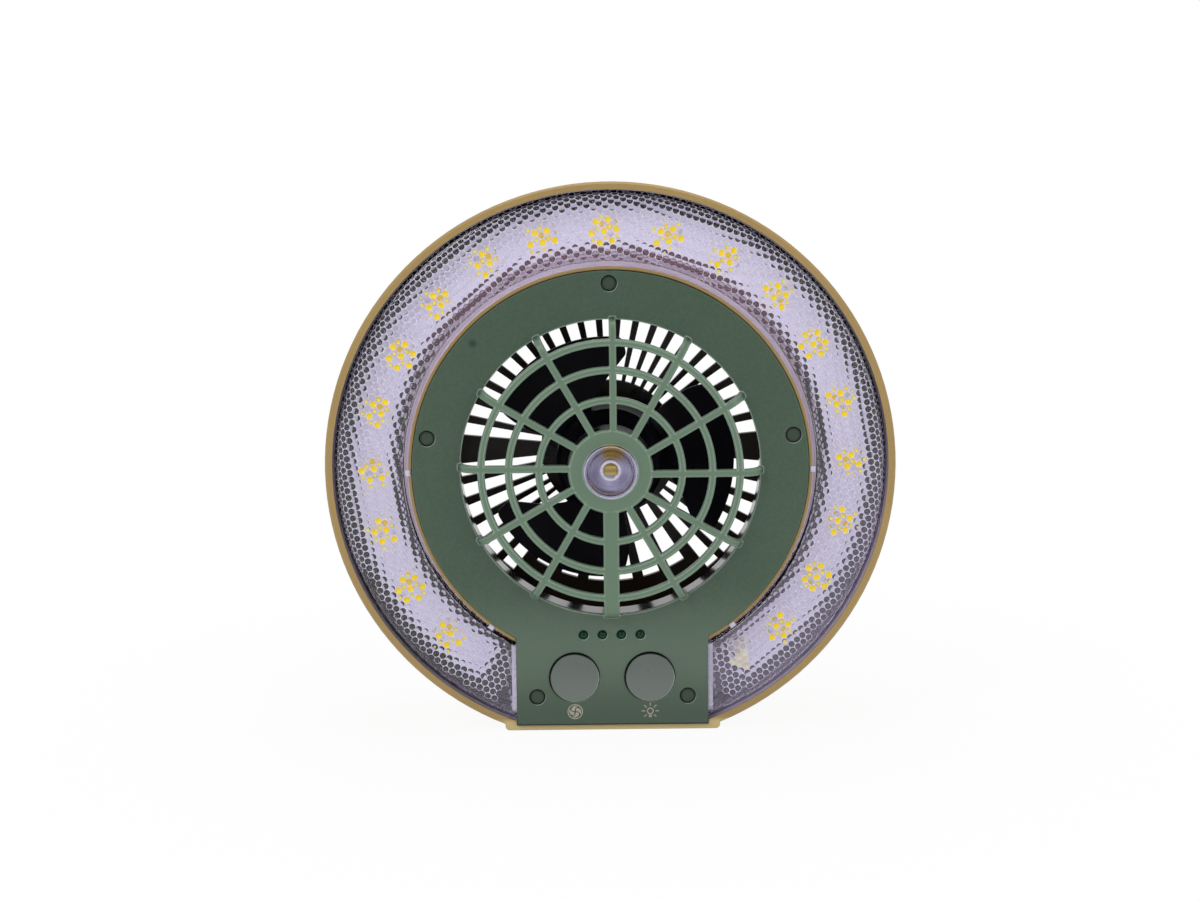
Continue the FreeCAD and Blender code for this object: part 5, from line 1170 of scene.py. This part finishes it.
def make_floor():
    """Pale floor that reads as white and keeps a soft shadow near the object."""
    mesh = bpy.data.meshes.new("floor")
    corners = ((-1, -1), (1, -1), (1, 1), (-1, 1))
    mesh.from_pydata([(x * FLOOR_REACH, y * FLOOR_REACH, 0) for x, y in corners], [], [(0, 1, 2, 3)])
    floor = add_object("floor", mesh)
    recipe = Recipe("floor")
    recipe.finish(Base_Color=(0.9, 0.9, 0.9, 1.0), Roughness=0.8, Specular_IOR_Level=0.1)
    white = recipe.add("ShaderNodeEmission", {"Color": (1, 1, 1, 1), "Strength": 1.0})
    rays = recipe.add("ShaderNodeLightPath").outputs
    seen = recipe.maths("MAXIMUM", rays["Is Camera Ray"], rays["Is Glossy Ray"])
    seen = recipe.maths("MAXIMUM", seen, rays["Is Transmission Ray"])
    x, y, _ = recipe.parts()
    share = recipe.times(recipe.smooth(recipe.length(x, y), 0.06, 0.3, 0.93, 1.0), seen)
    mixed = recipe.add("ShaderNodeMixShader")
    recipe.feed(mixed.inputs[0], share)
    recipe.feed(mixed.inputs[1], recipe.shader.outputs["BSDF"])
    recipe.feed(mixed.inputs[2], white.outputs["Emission"])
    recipe.feed(recipe.tree.nodes["Material Output"].inputs["Surface"], mixed.outputs["Shader"])
    mesh.materials.append(recipe.material)


def make_world():
    """White backdrop, with a room that is dimmer in front of the object for what its faces mirror."""
    world = bpy.data.worlds.new("studio")
    bpy.context.scene.world = world
    world.use_nodes = True
    nodes = Nodes(world.node_tree, "Generated")
    rays = nodes.add("ShaderNodeLightPath").outputs
    _, depth, _ = nodes.parts()

    def room(front, back):
        return nodes.smooth(depth, ROOM_FRONT, ROOM_BACK, front, back)

    strength = nodes.blend(rays["Is Glossy Ray"], room(0.34, 0.45), room(0.12, 1.0))
    strength = nodes.blend(rays["Is Transmission Ray"], strength, room(0.5, 1.0))
    strength = nodes.blend(rays["Is Camera Ray"], strength, 1.0)
    background = world.node_tree.nodes["Background"]
    nodes.feed(background.inputs["Color"], (1, 1, 1, 1))
    nodes.feed(background.inputs["Strength"], strength)


def make_lights():
    """Wide lights that face the middle of the fan."""
    middle = Vector((0, 0, AXIS_HEIGHT))
    for name, (place, width, height, power) in LIGHTS.items():
        data = bpy.data.lights.new(name, "AREA")
        data.shape = "RECTANGLE"
        data.size = width
        data.size_y = height
        data.energy = power
        light = add_object(name, data)
        light.location = place
        light.rotation_euler = (middle - Vector(place)).to_track_quat("-Z", "Y").to_euler()
        light.visible_camera = False


def make_camera():
    data = bpy.data.cameras.new("camera")
    data.lens = CAMERA_LENS
    data.sensor_width = CAMERA_SENSOR
    data.clip_start = 0.05
    data.clip_end = 20
    camera = add_object("camera", data)
    back = Vector((
        sin(CAMERA_AZIMUTH) * cos(CAMERA_ELEVATION),
        -cos(CAMERA_AZIMUTH) * cos(CAMERA_ELEVATION),
        sin(CAMERA_ELEVATION),
    ))
    right = Vector((0, 0, 1)).cross(back).normalized()
    up = back.cross(right)
    turned_right = right * cos(CAMERA_ROLL) + up * sin(CAMERA_ROLL)
    turned_up = up * cos(CAMERA_ROLL) - right * sin(CAMERA_ROLL)
    turn = Matrix((turned_right, turned_up, back)).transposed()
    camera.matrix_world = Matrix.Translation(CAMERA_TARGET + back * CAMERA_DISTANCE) @ turn.to_4x4()
    bpy.context.scene.camera = camera


made = dress_frame()
lens_web = make_lens_web("lens_web")
make_lamp_lens([
    made["lens_plastic"],
    lens_web,
    make_lamp_image_cell("lamp_image_cell", colour(255, 222, 0), colour(255, 226, 0)),
    make_lamp_image_cell("faint_lamp_image_cell", colour(240, 226, 140), colour(232, 218, 168)),
    made["connector_cream"],
])
make_end_walls(lens_web)
make_lens_hooks(lens_web)
make_spot_parts(lens_web)
make_signs()
make_floor()
make_world()
make_lights()
make_camera()
bpy.context.scene.view_settings.view_transform = "Standard"
